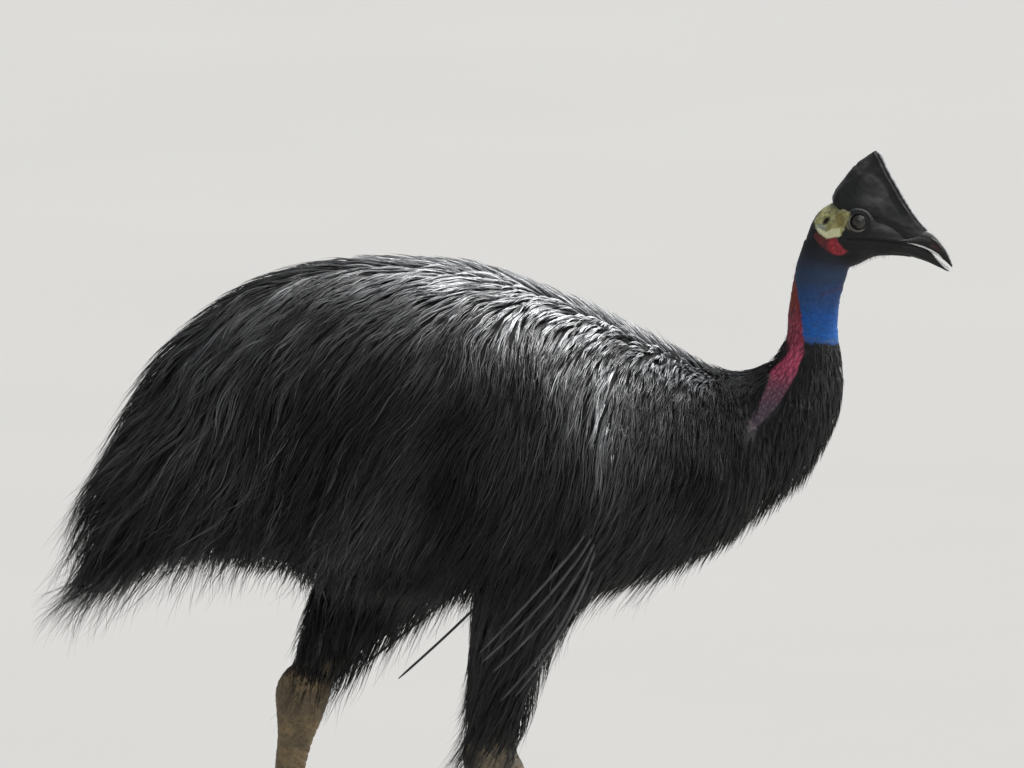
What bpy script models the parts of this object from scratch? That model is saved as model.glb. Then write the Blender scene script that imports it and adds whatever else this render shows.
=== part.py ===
"""Dwarf cassowary, life size, standing in a slow stride.

+X is the way the bird faces, +Y its left side, +Z up, the floor at Z = 0.
Lengths in the tables are millimetres and become metres through MM.
"""

import math

import bmesh
import bpy
import numpy as np
from mathutils import Matrix, Vector
from mathutils.bvhtree import BVHTree

MM = 0.001
GAP = 0.0005  # clearance between neighbouring pieces

# ------------------------------------------------------------------ sizes
TRACK = 46  # each foot's distance from the midline
HEM_TRACK = 62  # each leg's distance from the midline where it leaves the feathers
THIGH_TRACK = 80  # and high in the thigh
TARSUS = 245  # hock joint to toe joint
TOE_JOINT_NEAR = 22  # height of the right toe joint, foot flat
TOE_JOINT_FAR = 33  # left toe joint, heel pad lifted by the stride
MIDDLE_TOE, OUTER_TOE, INNER_TOE = 112, 82, 64
MIDDLE_CLAW, OUTER_CLAW, INNER_CLAW = 33, 26, 66
TOE_RADIUS = 12.5
TOE_IN = 2  # degrees that each foot turns towards the midline
EYE_RADIUS = 9.6
EYE_X, EYE_Z, EYE_Y = 366.8, 776, 21.2
QUILL_RADIUS = 1.6
QUILL_SPREAD = 112  # how far from the midline the quills hang where no plumage is

# back line, belly line and half-width of the plumage, by length along the body
#        x     top  bottom  half-width
PLUMAGE = [
    (-461, 421, 374, 30),
    (-446, 480, 369, 62),
    (-420, 530, 373, 88),
    (-380, 611, 388, 110),
    (-316, 680, 408, 130),
    (-232, 725, 402, 146),
    (-130, 740, 380, 157),
    (-30, 734, 374, 160),
    (60, 703, 374, 155),
    (140, 664, 392, 138),
    (205, 631, 418, 113),
    (255, 611, 451, 87),
    (292, 588, 492, 52),
]
# the neck's line, with its half-depth fore and aft and its half-width
#      x     z   depth  width
NECK = [
    (140, 532, 94, 100),
    (214, 540, 87, 84),
    (266, 556, 73, 68),
    (304, 593, 52, 48),
    (318, 634, 35, 32),
    (320, 668, 25.6, 24.5),
    (323, 697, 25.2, 24),
    (329, 723, 26.3, 25),
    (337, 748, 27, 26),
]
COLLAR = 650  # height on the neck line where the feathers end and bare skin begins
# skull: crown, jaw and half-width, from nape to the base of the bill
HEAD = [
    (314, 759, 732, 11),
    (319, 772, 726.5, 18),
    (326, 782.5, 723, 22.5),
    (333, 789, 722, 25),
    (342, 794, 722, 26.5),
    (355, 795, 725, 27),
    (368, 792, 730, 26),
    (380, 786, 736, 23),
    (394, 778, 738, 18.5),
    (408, 770, 737.5, 14),
    (421, 762, 736, 10),
]
# casque: crest line, half-width along the crest and along the foot
CASQUE = [
    (340, 798, 13, 16),
    (344, 806, 15.5, 21),
    (352, 817.5, 14, 24),
    (361, 829.5, 11, 25),
    (371, 838.5, 7.5, 24),
    (379, 843.5, 4.6, 22),
    (386, 846.5, 3.2, 19.5),
    (390, 844.5, 2.6, 17.5),
    (397, 830.5, 2.3, 14),
    (405, 815, 2.2, 11),
    (413, 799.5, 2.2, 8.5),
    (423, 783.5, 2.3, 6.2),
    (431, 772.5, 2.4, 4.8),
    (437, 766, 2.4, 3.4),
]
CASQUE_FOOT = [
    (340, 792),
    (346, 787),
    (356, 784),
    (369, 784),
    (384, 780.5),
    (395, 774),
    (417, 766),
    (437, 759),
]
# bill: ridge, cutting edge and half-width of the upper half
BILL = [
    (388, 764, 751.5, 14.5),
    (400, 763, 750, 15.6),
    (412, 762, 749, 13.6),
    (421, 762.5, 748, 12.2),
    (429, 765.5, 746.3, 11.0),
    (438, 764, 742.5, 9.4),
    (447, 757.5, 737, 7.2),
    (455, 747, 731, 5),
    (461, 735.5, 726, 2.8),
    (463.5, 729, 724.5, 1.2),
]
# lower half: cutting edge, keel and half-width
JAW = [
    (384, 752, 738.5, 16.4),
    (400, 750.5, 739, 14.6),
    (416, 748, 738, 12.4),
    (430, 744.5, 734.5, 10),
    (442, 738, 729.5, 7.4),
    (451, 731.5, 725, 4.8),
    (459, 724.5, 721, 1.6),
]
# feathered thigh: x, z, half-depth fore and aft, half-width
THIGH_NEAR = [
    (62, 505, 70, 40),
    (50, 450, 80, 56),
    (34, 410, 72, 56),
    (22, 380, 60, 50),
    (13, 348, 51, 43),
    (6, 314, 44.5, 37.5),
    (0, 280, 40, 33.5),
    (-6, 254, 34, 30),
    (-9, 243, 27, 25),
]
THIGH_FAR = [
    (-70, 500, 66, 40),
    (-90, 450, 84, 56),
    (-118, 400, 80, 56),
    (-142, 366, 66, 50),
    (-163, 341, 53, 43),
    (-182, 315, 42, 36),
    (-192, 298, 33, 30),
    (-196, 291, 27, 25),
]
HOCK_NEAR, HOCK_FAR = (-13, 227), (-206, 274)
WING = [  # x, z, half-depth, thickness: shoulder to hand, under the plumage
    (121, 618, 5, 3),
    (118, 606, 15, 7),
    (108, 560, 24, 11),
    (101, 515, 23, 11),
    (98, 478, 15, 8),
    (97, 464, 8, 5),
]
# tips of the bare wing quills (x, z), and how far each wing sits from the table's place
QUILL_TIPS = {
    "right": [(-23, 343), (-20, 334), (-9, 324), (-1, 294), (14, 299)],
    "left": [(-140, 295), (-108, 277), (-34, 300), (-22, 286), (-4, 280)],
}
WING_LIMIT = 160  # no wing stands out further than the body
WING_SHIFT = {"right": (0, 0), "left": (-34, -22)}


# ------------------------------------------------------------------ tools
def spline(table, count):
    """Points spread evenly along a smooth curve through a table's rows."""
    rows = np.array(table, float)
    steps = np.linalg.norm(np.diff(rows[:, :2], axis=0), axis=1)
    s = np.concatenate([[0], np.cumsum(steps)])
    slope = np.gradient(rows, s, axis=0)
    out = []
    for t in np.linspace(0, s[-1], count):
        i = min(int(np.searchsorted(s, t, "right")) - 1, len(s) - 2)
        h = s[i + 1] - s[i]
        u = (t - s[i]) / h
        out.append(
            (2 * u**3 - 3 * u**2 + 1) * rows[i]
            + (u**3 - 2 * u**2 + u) * h * slope[i]
            + (3 * u**2 - 2 * u**3) * rows[i + 1]
            + (u**3 - u**2) * h * slope[i + 1]
        )
    return np.array(out)


def loft(name, rings, collection):
    """A closed solid through rings of equal count, capped at both ends."""
    bm = bmesh.new()
    loops = [[bm.verts.new(Vector(p) * MM) for p in ring] for ring in rings]
    n = len(loops[0])
    for a, b in zip(loops, loops[1:]):
        for i in range(n):
            bm.faces.new((a[i], a[(i + 1) % n], b[(i + 1) % n], b[i]))
    for ring, flip in ((loops[0], True), (loops[-1], False)):
        hub = bm.verts.new(sum((v.co for v in ring), Vector()) / n)
        for i in range(n):
            ends = (ring[i], ring[(i + 1) % n])
            bm.faces.new((*(ends[::-1] if flip else ends), hub))
    bmesh.ops.recalc_face_normals(bm, faces=bm.faces)
    mesh = bpy.data.meshes.new(name)
    bm.to_mesh(mesh)
    bm.free()
    obj = bpy.data.objects.new(name, mesh)
    collection.objects.link(obj)
    return obj


def upright_rings(table, count, sides, egg=0.0, power=1.0):
    """Rings across the body: rows are x, top, bottom, half-width."""
    rings = []
    for x, top, bottom, width in spline(table, count):
        mid, half = (top + bottom) / 2, abs(top - bottom) / 2
        ring = []
        for k in range(sides):
            a = 2 * math.pi * k / sides
            c, s = math.cos(a), math.sin(a)
            y = math.copysign(abs(c) ** power, c)
            z = math.copysign(abs(s) ** power, s)
            ring.append((x, width * y * (1 - egg * z), mid + half * z))
        rings.append(ring)
    return rings


def tube_rings(table, count, sides, y=0.0, lean=0.0):
    """Rings square to a line in the XZ plane: rows are x, z, half-depth, half-width.

    The line starts y to the side and drifts by lean on its way.
    """
    rows = spline(table, count)
    along = np.gradient(rows[:, :2], axis=0)
    along /= np.linalg.norm(along, axis=1)[:, None]
    rings = []
    for i, ((x, z, depth, width), (tx, tz)) in enumerate(zip(rows, along)):
        side = y + lean * i / (count - 1)
        ring = []
        for k in range(sides):
            a = 2 * math.pi * k / sides
            d, w = depth * math.cos(a), width * math.sin(a)
            ring.append((x - tz * d, side + w, z + tx * d))
        rings.append(ring)
    return rings


def freeze(obj):
    """Replaces an object's mesh by what its modifiers make of it."""
    bpy.context.view_layer.update()
    graph = bpy.context.evaluated_depsgraph_get()
    mesh = bpy.data.meshes.new_from_object(obj.evaluated_get(graph))
    obj.modifiers.clear()
    obj.data = mesh
    return obj


def volume_of(mesh):
    """The volume a mesh closes in, or 0 where it has an open or doubled edge."""
    bm = bmesh.new()
    bm.from_mesh(mesh)
    closed = bool(bm.faces) and all(edge.is_manifold for edge in bm.edges)
    volume = bm.calc_volume(signed=True) if closed else 0.0
    bm.free()
    return volume


def boolean(obj, other, operation):
    """Cuts or joins; a tool whose faces nearly coincide is nudged and tried again."""
    before, tool = volume_of(obj.data), volume_of(other.data)
    least = max(before, tool) * 0.999 if operation == "UNION" else before * 0.02
    source, place = obj.data, other.location.copy()
    for tries, solver in enumerate(("EXACT", "EXACT", "EXACT", "MANIFOLD", "MANIFOLD")):
        obj.data = source.copy()
        cut = obj.modifiers.new(operation.lower(), "BOOLEAN")
        cut.operation = operation
        cut.solver = solver
        cut.object = other
        freeze(obj)
        if volume_of(obj.data) > least:
            break
        other.location += Vector((0.00002, 0.00003 * (-1) ** tries, 0.00004))
    other.location = place
    return obj


def swollen(obj, by=GAP):
    """A cutter: the same surface moved out along its normals."""
    twin = bpy.data.objects.new(obj.name + "_cutter", obj.data.copy())
    cutters.objects.link(twin)
    bm = bmesh.new()
    bm.from_mesh(twin.data)
    bm.normal_update()
    moved = [v.co + v.normal * by * min(v.calc_shell_factor(), 2.5) for v in bm.verts]
    for v, co in zip(bm.verts, moved):
        v.co = co
    bm.to_mesh(twin.data)
    bm.free()
    twin.hide_render = True
    twin.display_type = "WIRE"
    return twin


def copied(obj, name, collection):
    twin = bpy.data.objects.new(name, obj.data.copy())
    collection.objects.link(twin)
    return twin


def blob(name, centre, radii, tilt=0.0, by=0.0):
    """An ellipsoid cutter, turned about Y by tilt degrees."""
    bpy.ops.mesh.primitive_uv_sphere_add(segments=20, ring_count=12, radius=1)
    obj = bpy.context.object
    obj.name = name
    for c in obj.users_collection:
        c.objects.unlink(obj)
    cutters.objects.link(obj)
    size = [r * MM + by for r in radii]
    obj.data.transform(
        Matrix.Translation(Vector(centre) * MM)
        @ Matrix.Rotation(math.radians(tilt), 4, "Y")
        @ Matrix.Diagonal((*size, 1))
    )
    obj.hide_render = True
    obj.display_type = "WIRE"
    return obj


def slab(name, centre, size, tilt=0.0):
    """A box cutter, turned about Y by tilt degrees."""
    bpy.ops.mesh.primitive_cube_add(size=1)
    obj = bpy.context.object
    obj.name = name
    for c in obj.users_collection:
        c.objects.unlink(obj)
    cutters.objects.link(obj)
    obj.data.transform(
        Matrix.Translation(Vector(centre) * MM)
        @ Matrix.Rotation(math.radians(tilt), 4, "Y")
        @ Matrix.Diagonal((*[s * MM for s in size], 1))
    )
    obj.hide_render = True
    obj.display_type = "WIRE"
    return obj


def paint(obj, name, colour, roughness, metallic=0.0):
    material = bpy.data.materials.get(name) or bpy.data.materials.new(name)
    material.use_nodes = True
    shader = material.node_tree.nodes["Principled BSDF"]
    shader.inputs["Base Color"].default_value = (*colour, 1)
    shader.inputs["Roughness"].default_value = roughness
    shader.inputs["Metallic"].default_value = metallic
    obj.data.materials.clear()
    obj.data.materials.append(material)
    obj.data.shade_smooth()
    obj.data.set_sharp_from_angle(angle=math.radians(50))


def settle(obj, pivot=None):
    """Puts the object's origin on its own place and hangs it from the bird's empty."""
    if pivot is None:
        pts = np.array([v.co for v in obj.data.vertices])
        pivot = Vector((pts.min(0) + pts.max(0)) / 2)
    obj.data.transform(Matrix.Translation(-pivot))
    obj.location = pivot - floor_centre
    obj.parent = bird


def largest_part(obj):
    """Drops crumbs that a Boolean can leave beside the main piece."""
    bm = bmesh.new()
    bm.from_mesh(obj.data)
    left, groups = set(bm.verts), []
    while left:
        seed = left.pop()
        group, stack = {seed}, [seed]
        while stack:
            for edge in stack.pop().link_edges:
                for v in edge.verts:
                    if v not in group:
                        group.add(v)
                        stack.append(v)
        left -= group
        groups.append(group)
    groups.sort(key=len)
    for group in groups[:-1]:
        bmesh.ops.delete(bm, geom=list(group), context="VERTS")
    bm.to_mesh(obj.data)
    bm.free()
    return obj


# ------------------------------------------------------------------ scene
for old in list(bpy.data.objects):
    bpy.data.objects.remove(old, do_unlink=True)
parts = bpy.data.collections.new("dwarf_cassowary")
cutters = bpy.data.collections.new("cutters")
bpy.context.scene.collection.children.link(parts)
bpy.context.scene.collection.children.link(cutters)
bird = bpy.data.objects.new("cassowary", None)
parts.objects.link(bird)

# ------------------------------------------------------------------ plumage
# The feathered mass is modelled whole, as one soft closed form, then parted by thin cuts.
plumage = loft("plumage", upright_rings(PLUMAGE, 30, 26, egg=0.13, power=0.92), cutters)
neck_line = spline(NECK, 61)
collar = int(np.argmax(neck_line[:, 1] > COLLAR))
feathered = neck_line[: collar + 1].copy()
feathered[-2:, 2:] += 2.5
feathered[-1, 2:] -= 5
pieces = [
    loft("neck_plumage", tube_rings(feathered, 16, 24), cutters),
    loft(
        "thigh_near",
        tube_rings(THIGH_NEAR, 14, 20, -THIGH_TRACK, THIGH_TRACK - HEM_TRACK),
        cutters,
    ),
    loft(
        "thigh_far",
        tube_rings(THIGH_FAR, 14, 20, THIGH_TRACK, HEM_TRACK - THIGH_TRACK),
        cutters,
    ),
]
bm = bmesh.new()
for source in [plumage, *pieces]:
    bm.from_mesh(source.data)
bm.to_mesh(plumage.data)
bm.free()
for source in pieces:
    bpy.data.objects.remove(source)
remesh = plumage.modifiers.new("whole", "REMESH")
remesh.mode = "VOXEL"
remesh.voxel_size = 0.0085
soften = plumage.modifiers.new("soften", "SMOOTH")
soften.factor = 0.5
soften.iterations = 7
thin = plumage.modifiers.new("thin", "DECIMATE")
thin.ratio = 0.042
freeze(plumage)
plumage.hide_render = True
plumage.display_type = "WIRE"

thigh_boxes = {
    "right": ((26, -86, 392), (86, 76, 176), 8),
    "left": ((-128, 86, 392), (100, 76, 160), 36),
}
tail_cut = slab("tail_cut", (-470, 0, 560), (400, 800, 900), -17)
tail_keep = slab("tail_keep", (-470 - 0.4, 0, 560), (400, 800, 900), -17)
neck_cut = slab("neck_cut", (450, 0, 560), (400, 800, 700), 20)
neck_keep = slab("neck_keep", (450 + 0.4, 0, 560), (400, 800, 700), 20)

trunk = copied(plumage, "trunk", parts)
tail = boolean(copied(plumage, "tail", parts), tail_keep, "INTERSECT")
neck_lower = boolean(copied(plumage, "neck_lower", parts), neck_keep, "INTERSECT")
boolean(trunk, tail_cut, "DIFFERENCE")
boolean(trunk, neck_cut, "DIFFERENCE")
thighs = {}
for side, (centre, radii, tilt) in thigh_boxes.items():
    inner = blob("thigh_" + side + "_keep", centre, radii, tilt)
    outer = blob("thigh_" + side + "_cut", centre, radii, tilt, GAP)
    thighs[side] = boolean(copied(plumage, "thigh_" + side, parts), inner, "INTERSECT")
    boolean(trunk, outer, "DIFFERENCE")
    boolean(tail, outer, "DIFFERENCE")
plumage_cutter = swollen(plumage, 2 * GAP)

# ------------------------------------------------------------------ neck and head
bare = neck_line[collar - 4 :]
neck_upper = loft("neck_upper", tube_rings(bare, 10, 16), parts)
neck_cutter = swollen(neck_upper)
boolean(neck_upper, plumage_cutter, "DIFFERENCE")

head = loft("head", upright_rings(HEAD, 13, 14, egg=0.04, power=0.95), parts)
full_head = swollen(head, 0.0)
head_cutter = swollen(head)
boolean(head, neck_cutter, "DIFFERENCE")


def casque_rings(count, sides):
    rings = []
    foot = spline(CASQUE_FOOT, 60)
    for x, crest, top, base in spline(CASQUE, count):
        low = float(np.interp(x, foot[:, 0], foot[:, 1]))
        ring = []
        for k in range(sides):
            a = 2 * math.pi * (k + 0.5) / sides
            c, s = math.cos(a), math.sin(a)
            up = (math.copysign(abs(s) ** 0.62, s) + 1) / 2
            wide = base + (top - base) * up**0.85
            bulge = 1.1 * math.sin(math.pi * up) * math.exp(-(((x - 372) / 16) ** 2))
            side = math.copysign(abs(c) ** 0.55, c)
            ring.append((x, side * (wide + bulge), low + (crest - low) * up))
        rings.append(ring)
    return rings


casque = loft("casque", casque_rings(15, 12), parts)
casque_cutter = swollen(casque)
boolean(casque, head_cutter, "DIFFERENCE")
bill_upper = loft("bill_upper", upright_rings(BILL, 12, 12, egg=0.25, power=0.85), parts)
bill_lower = loft("bill_lower", upright_rings(JAW, 10, 12, egg=-0.2, power=0.85), parts)
bill_cutter = swollen(bill_upper)
boolean(bill_upper, casque_cutter, "DIFFERENCE")
boolean(bill_upper, head_cutter, "DIFFERENCE")
boolean(bill_lower, head_cutter, "DIFFERENCE")
boolean(bill_lower, bill_cutter, "DIFFERENCE")

eyes = []
for side, sign in (("right", -1), ("left", 1)):
    centre = Vector((EYE_X, sign * EYE_Y, EYE_Z)) * MM
    bpy.ops.mesh.primitive_uv_sphere_add(
        segments=12, ring_count=8, radius=EYE_RADIUS * MM, location=centre
    )
    eye = bpy.context.object
    eye.name = "eye_" + side
    for c in eye.users_collection:
        c.objects.unlink(eye)
    parts.objects.link(eye)
    eye.data.transform(Matrix.Translation(centre) @ Matrix.Rotation(math.pi / 2, 4, "X"))
    eye.location = (0, 0, 0)
    socket = swollen(eye)
    boolean(head, socket, "DIFFERENCE")
    boolean(casque, socket, "DIFFERENCE")
    eyes.append(eye)

# ------------------------------------------------------------------ legs
legs, toes, claws = [], [], []
thigh_cutters = {s: plumage_cutter for s in thighs}


def shank_table(hock, joint):
    """Hem of the feathers, hock, slim tarsus, toe joint."""
    hx, hz = hock
    jx, jz = joint
    rows = []
    for share, depth, width in (
        (0.00, 28.0, 23.0),
        (0.10, 24.0, 20.5),
        (0.20, 18.5, 17.0),
        (0.34, 15.2, 14.2),
        (0.58, 14.0, 13.4),
        (0.82, 14.4, 14.2),
        (0.94, 17.0, 17.0),
        (1.02, 18.0, 18.5),
    ):
        rows.append((hx + (jx - hx) * share, hz + (jz - hz) * share, depth, width))
    return rows


def toe(name, start, heading, length, radius, tip_radius, drop, foot):
    """A padded toe from the toe joint, its sole flat on the floor."""
    rings, count, sides = [], 9, 8
    direction = Vector((math.cos(heading), math.sin(heading), 0))
    across = Vector((-direction.y, direction.x, 0))
    for i in range(count):
        s = i / (count - 1)
        r = radius + (tip_radius - radius) * s
        r *= 1 + 0.075 * math.cos(2 * math.pi * s * foot)
        if i == count - 1:
            r *= 0.62
        z = 0.84 * r + max(0.0, drop - 0.84 * r) * max(0.0, 1 - s / 0.5) ** 2
        mid = Vector(start) + direction * (length * s)
        ring = []
        for k in range(sides):
            a = 2 * math.pi * (k + 0.5) / sides
            p = mid + across * (r * 0.98 * math.cos(a))
            ring.append((p.x, p.y, max(0.0, z + r * 0.96 * math.sin(a))))
        rings.append(ring)
    return loft(name, rings, parts)


def claw(name, start, heading, length, radius, rise):
    """A curved horn nail, its tip just above the floor."""
    rings, count, sides = [], 6, 7
    direction = Vector((math.cos(heading), math.sin(heading), 0))
    across = Vector((-direction.y, direction.x, 0))
    for i in range(count):
        s = i / (count - 1)
        r = max(0.45, radius * (1 - s) ** 0.7)
        z = 0.8 + r + (rise - radius) * (1 - s) ** 1.1 + 1.6 * math.sin(math.pi * s)
        mid = Vector(start) + direction * (length * s)
        ring = []
        for k in range(sides):
            a = 2 * math.pi * k / sides
            p = mid + across * (r * 0.82 * math.cos(a))
            ring.append((p.x, p.y, z + r * math.sin(a)))
        rings.append(ring)
    return loft(name, rings, parts)


for side, sign, hock, joint_z, table in (
    ("right", -1, HOCK_NEAR, TOE_JOINT_NEAR, THIGH_NEAR),
    ("left", 1, HOCK_FAR, TOE_JOINT_FAR, THIGH_FAR),
):
    y = sign * TRACK
    run = math.sqrt(TARSUS**2 - (hock[1] - joint_z) ** 2)
    joint = (hock[0] + (run if side == "right" else -run), joint_z)
    above = table[-1]
    higher = table[-3]
    rows = [(higher[0], higher[1], 17, 16), (above[0], above[1], 23.5, 20.5)]
    rows += shank_table(hock, joint)
    hem = sign * (HEM_TRACK + 2)
    shank = loft("shank_" + side, tube_rings(rows, 16, 10, hem, y - hem), parts)
    floor = slab("floor_" + side, (joint[0], y, -20), (200, 200, 40))
    shank_cutter = swollen(shank)
    boolean(shank, floor, "DIFFERENCE")
    boolean(shank, thigh_cutters[side], "DIFFERENCE")
    legs.append(shank)
    foot_cutters = []
    for label, turn, length, radius, tip, talon, horn, lobes in (
        ("middle", 0, MIDDLE_TOE, TOE_RADIUS + 1, 9.0, MIDDLE_CLAW, 6.2, 3),
        ("outer", -31, OUTER_TOE, TOE_RADIUS - 0.5, 7.6, OUTER_CLAW, 5.2, 3),
        ("inner", 29, INNER_TOE, TOE_RADIUS, 8.8, INNER_CLAW, 6.4, 2),
    ):
        heading = math.radians(-sign * (TOE_IN + turn))
        start = (joint[0], y, 0)
        piece = toe(
            f"toe_{side}_{label}", start, heading, length, radius, tip, joint_z, lobes
        )
        toe_cutter = swollen(piece)
        boolean(piece, shank_cutter, "DIFFERENCE")
        for earlier in foot_cutters:
            boolean(piece, earlier, "DIFFERENCE")
        foot_cutters.append(toe_cutter)
        largest_part(piece)
        toes.append(piece)
        tip_at = Vector(start) + Vector((math.cos(heading), math.sin(heading), 0)) * (
            length - 9
        )
        nail = claw(
            f"claw_{side}_{label}", tip_at, heading, talon + 9, horn, tip * 1.02
        )
        boolean(nail, toe_cutter, "DIFFERENCE")
        claws.append(largest_part(nail))

# ------------------------------------------------------------------ wings
body_tree = BVHTree.FromObject(plumage, bpy.context.evaluated_depsgraph_get())


def flank(x, z, sign):
    """How far out the plumage reaches at this place, seen from the side."""
    hit = body_tree.ray_cast(
        Vector((x * MM, sign * 0.6, z * MM)), Vector((0, -sign, 0))
    )[0]
    return max(QUILL_SPREAD, sign * hit.y / MM) if hit else QUILL_SPREAD


wings = []
for side, sign in (("right", -1), ("left", 1)):
    shift, drop = WING_SHIFT[side]
    rows = spline(WING, 10)
    along = np.gradient(rows[:, :2], axis=0)
    along /= np.linalg.norm(along, axis=1)[:, None]
    rings = []
    for (x, z, depth, thick), (tx, tz) in zip(rows, along):
        x, z = x + shift, z + drop
        out = flank(x, z, sign) + 1.0
        ring = []
        for k in range(10):
            a = 2 * math.pi * k / 10
            d, w = depth * math.cos(a), thick * math.sin(a)
            ring.append((x - tz * d, sign * min(out + w, WING_LIMIT), z + tx * d))
        rings.append(ring)
    wing = loft("wing_" + side, rings, parts)
    boolean(wing, plumage_cutter, "DIFFERENCE")
    largest_part(wing)
    for q, (tip_x, tip_z) in enumerate(QUILL_TIPS[side]):
        start = Vector((98 + shift - 2.5 * q, 484 + drop - 5 * q))
        tip = Vector((tip_x, tip_z))
        square = Vector((start.y - tip.y, tip.x - start.x)).normalized()
        steps = 6
        points = []
        for i in range(steps + 1):
            s = i / steps
            bow = (3 + 1.6 * q) * math.sin(math.pi * s)
            points.append(start.lerp(tip, s) + square * bow)
        outs = [flank(p.x, p.y, sign) + 5.0 for p in points]
        chord = [outs[0] + (outs[-1] - outs[0]) * i / steps for i in range(steps + 1)]
        lift = max(0.0, *(o - c for o, c in zip(outs, chord)))
        line = bpy.data.curves.new(f"quill_{side}_{q}", "CURVE")
        line.dimensions = "3D"
        line.bevel_depth = QUILL_RADIUS * MM
        line.bevel_resolution = 0
        line.use_fill_caps = True
        path = line.splines.new("POLY")
        path.points.add(steps)
        for i, p in enumerate(points):
            s = i / steps
            out = chord[i] + lift * math.sin(math.pi * (0.1 + 0.9 * s)) ** 0.5 + 0.8 * q
            if i == 0:
                out = outs[0] - 1.0
            out = min(out, WING_LIMIT - 2)
            path.points[i].co = (p.x * MM, sign * out * MM, p.y * MM, 1)
            path.points[i].radius = 1.15 - 0.5 * s
        holder = bpy.data.objects.new(line.name, line)
        cutters.objects.link(holder)
        bpy.context.view_layer.update()
        mesh = bpy.data.meshes.new_from_object(
            holder.evaluated_get(bpy.context.evaluated_depsgraph_get())
        )
        bm = bmesh.new()
        bm.from_mesh(mesh)
        bmesh.ops.remove_doubles(bm, verts=bm.verts, dist=0.00005)
        bmesh.ops.recalc_face_normals(bm, faces=bm.faces)
        bm.to_mesh(mesh)
        bm.free()
        shaft = bpy.data.objects.new(f"shaft_{side}_{q}", mesh)
        cutters.objects.link(shaft)
        shaft.hide_render = True
        bpy.data.objects.remove(holder)
        boolean(wing, shaft, "UNION")
    wings.append(largest_part(wing))

# ------------------------------------------------------------------ finish
for piece in [tail, trunk, neck_lower, *thighs.values(), neck_upper, head, casque]:
    largest_part(piece)
for piece in [bill_upper, bill_lower, *legs]:
    largest_part(piece)
BLACK = (0.012, 0.012, 0.013)
for piece in [tail, trunk, neck_lower, *thighs.values(), *wings]:
    paint(piece, "plumage_black", BLACK, 0.5)
paint(neck_upper, "neck_skin_blue", (0.02, 0.09, 0.36), 0.55)
paint(head, "head_skin_black", (0.02, 0.02, 0.025), 0.55)
for piece in (casque, bill_upper, bill_lower):
    paint(piece, "horn_black", (0.015, 0.015, 0.016), 0.3)
for piece in eyes:
    paint(piece, "eye_brown", (0.05, 0.03, 0.02), 0.08)
for piece in [*legs, *toes]:
    paint(piece, "leg_skin_grey", (0.16, 0.14, 0.12), 0.65)
for piece in claws:
    paint(piece, "claw_horn", (0.05, 0.045, 0.04), 0.4)
whole = [
    tail, trunk, neck_lower, *thighs.values(), *wings, neck_upper, head, casque,
    bill_upper, bill_lower, *eyes, *legs, *toes, *claws,
]  # fmt: skip
corners = np.array([v.co for piece in whole for v in piece.data.vertices])
low, high = corners.min(0), corners.max(0)
# the floor point under the middle of the bird's length and width
floor_centre = Vector(((low[0] + high[0]) / 2, (low[1] + high[1]) / 2, low[2]))
print("centre of the bird's box on the floor, mm:", [round(c / MM, 3) for c in floor_centre])
for piece in whole:
    settle(piece)
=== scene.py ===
"""Dwarf cassowary: skin, plumage, horn, eyes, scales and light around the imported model.

Lengths in the tables are millimetres in the design frame; place() turns them into the
model's frame. +X is the way the bird faces, +Y its left side, +Z up.
"""

import math

import bmesh
import bpy
import numpy as np
from mathutils import Matrix, Vector
from mathutils.bvhtree import BVHTree


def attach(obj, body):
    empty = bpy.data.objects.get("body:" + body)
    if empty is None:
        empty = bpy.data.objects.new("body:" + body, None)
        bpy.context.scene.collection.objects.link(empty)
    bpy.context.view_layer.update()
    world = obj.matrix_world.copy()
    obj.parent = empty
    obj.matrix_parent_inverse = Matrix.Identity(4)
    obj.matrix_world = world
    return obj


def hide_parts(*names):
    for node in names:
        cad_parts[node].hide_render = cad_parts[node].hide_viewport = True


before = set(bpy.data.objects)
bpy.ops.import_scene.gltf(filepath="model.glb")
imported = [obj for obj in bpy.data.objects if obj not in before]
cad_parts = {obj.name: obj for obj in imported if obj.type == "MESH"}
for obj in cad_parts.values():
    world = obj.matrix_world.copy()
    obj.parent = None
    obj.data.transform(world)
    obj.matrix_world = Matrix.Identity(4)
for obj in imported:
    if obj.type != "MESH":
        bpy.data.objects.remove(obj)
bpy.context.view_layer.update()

RNG = np.random.default_rng(20)
MM = 0.001

# ------------------------------------------------------------------ the bird's sizes
FLOOR_CENTRE = np.array([1.321, -0.072, 0.0])  # design point that is the frame's origin
THIGH_TRACK, HEM_TRACK, TRACK = 80, 62, 46
TARSUS, TOE_JOINT = 245, {"right": 22, "left": 33}
EYE_X, EYE_Y, EYE_Z, EYE_RADIUS = 366.1, 21.2, 776.0, 9.6
LID_X = 365.6
HOCK = {"right": (-13, 227), "left": (-206, 274)}
SIDES = (("right", -1), ("left", 1))

# outer surface of the plumage: x, top, bottom, half-width
PLUMAGE = [
    (-461, 421, 374, 30), (-446, 480, 369, 62), (-420, 530, 373, 88),
    (-380, 611, 388, 110), (-316, 680, 408, 130), (-232, 725, 402, 146),
    (-130, 740, 380, 157), (-30, 734, 374, 160), (60, 703, 374, 155),
    (140, 664, 392, 138), (205, 631, 418, 113), (255, 611, 451, 87),
    (292, 588, 492, 52),
]  # fmt: skip
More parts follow.
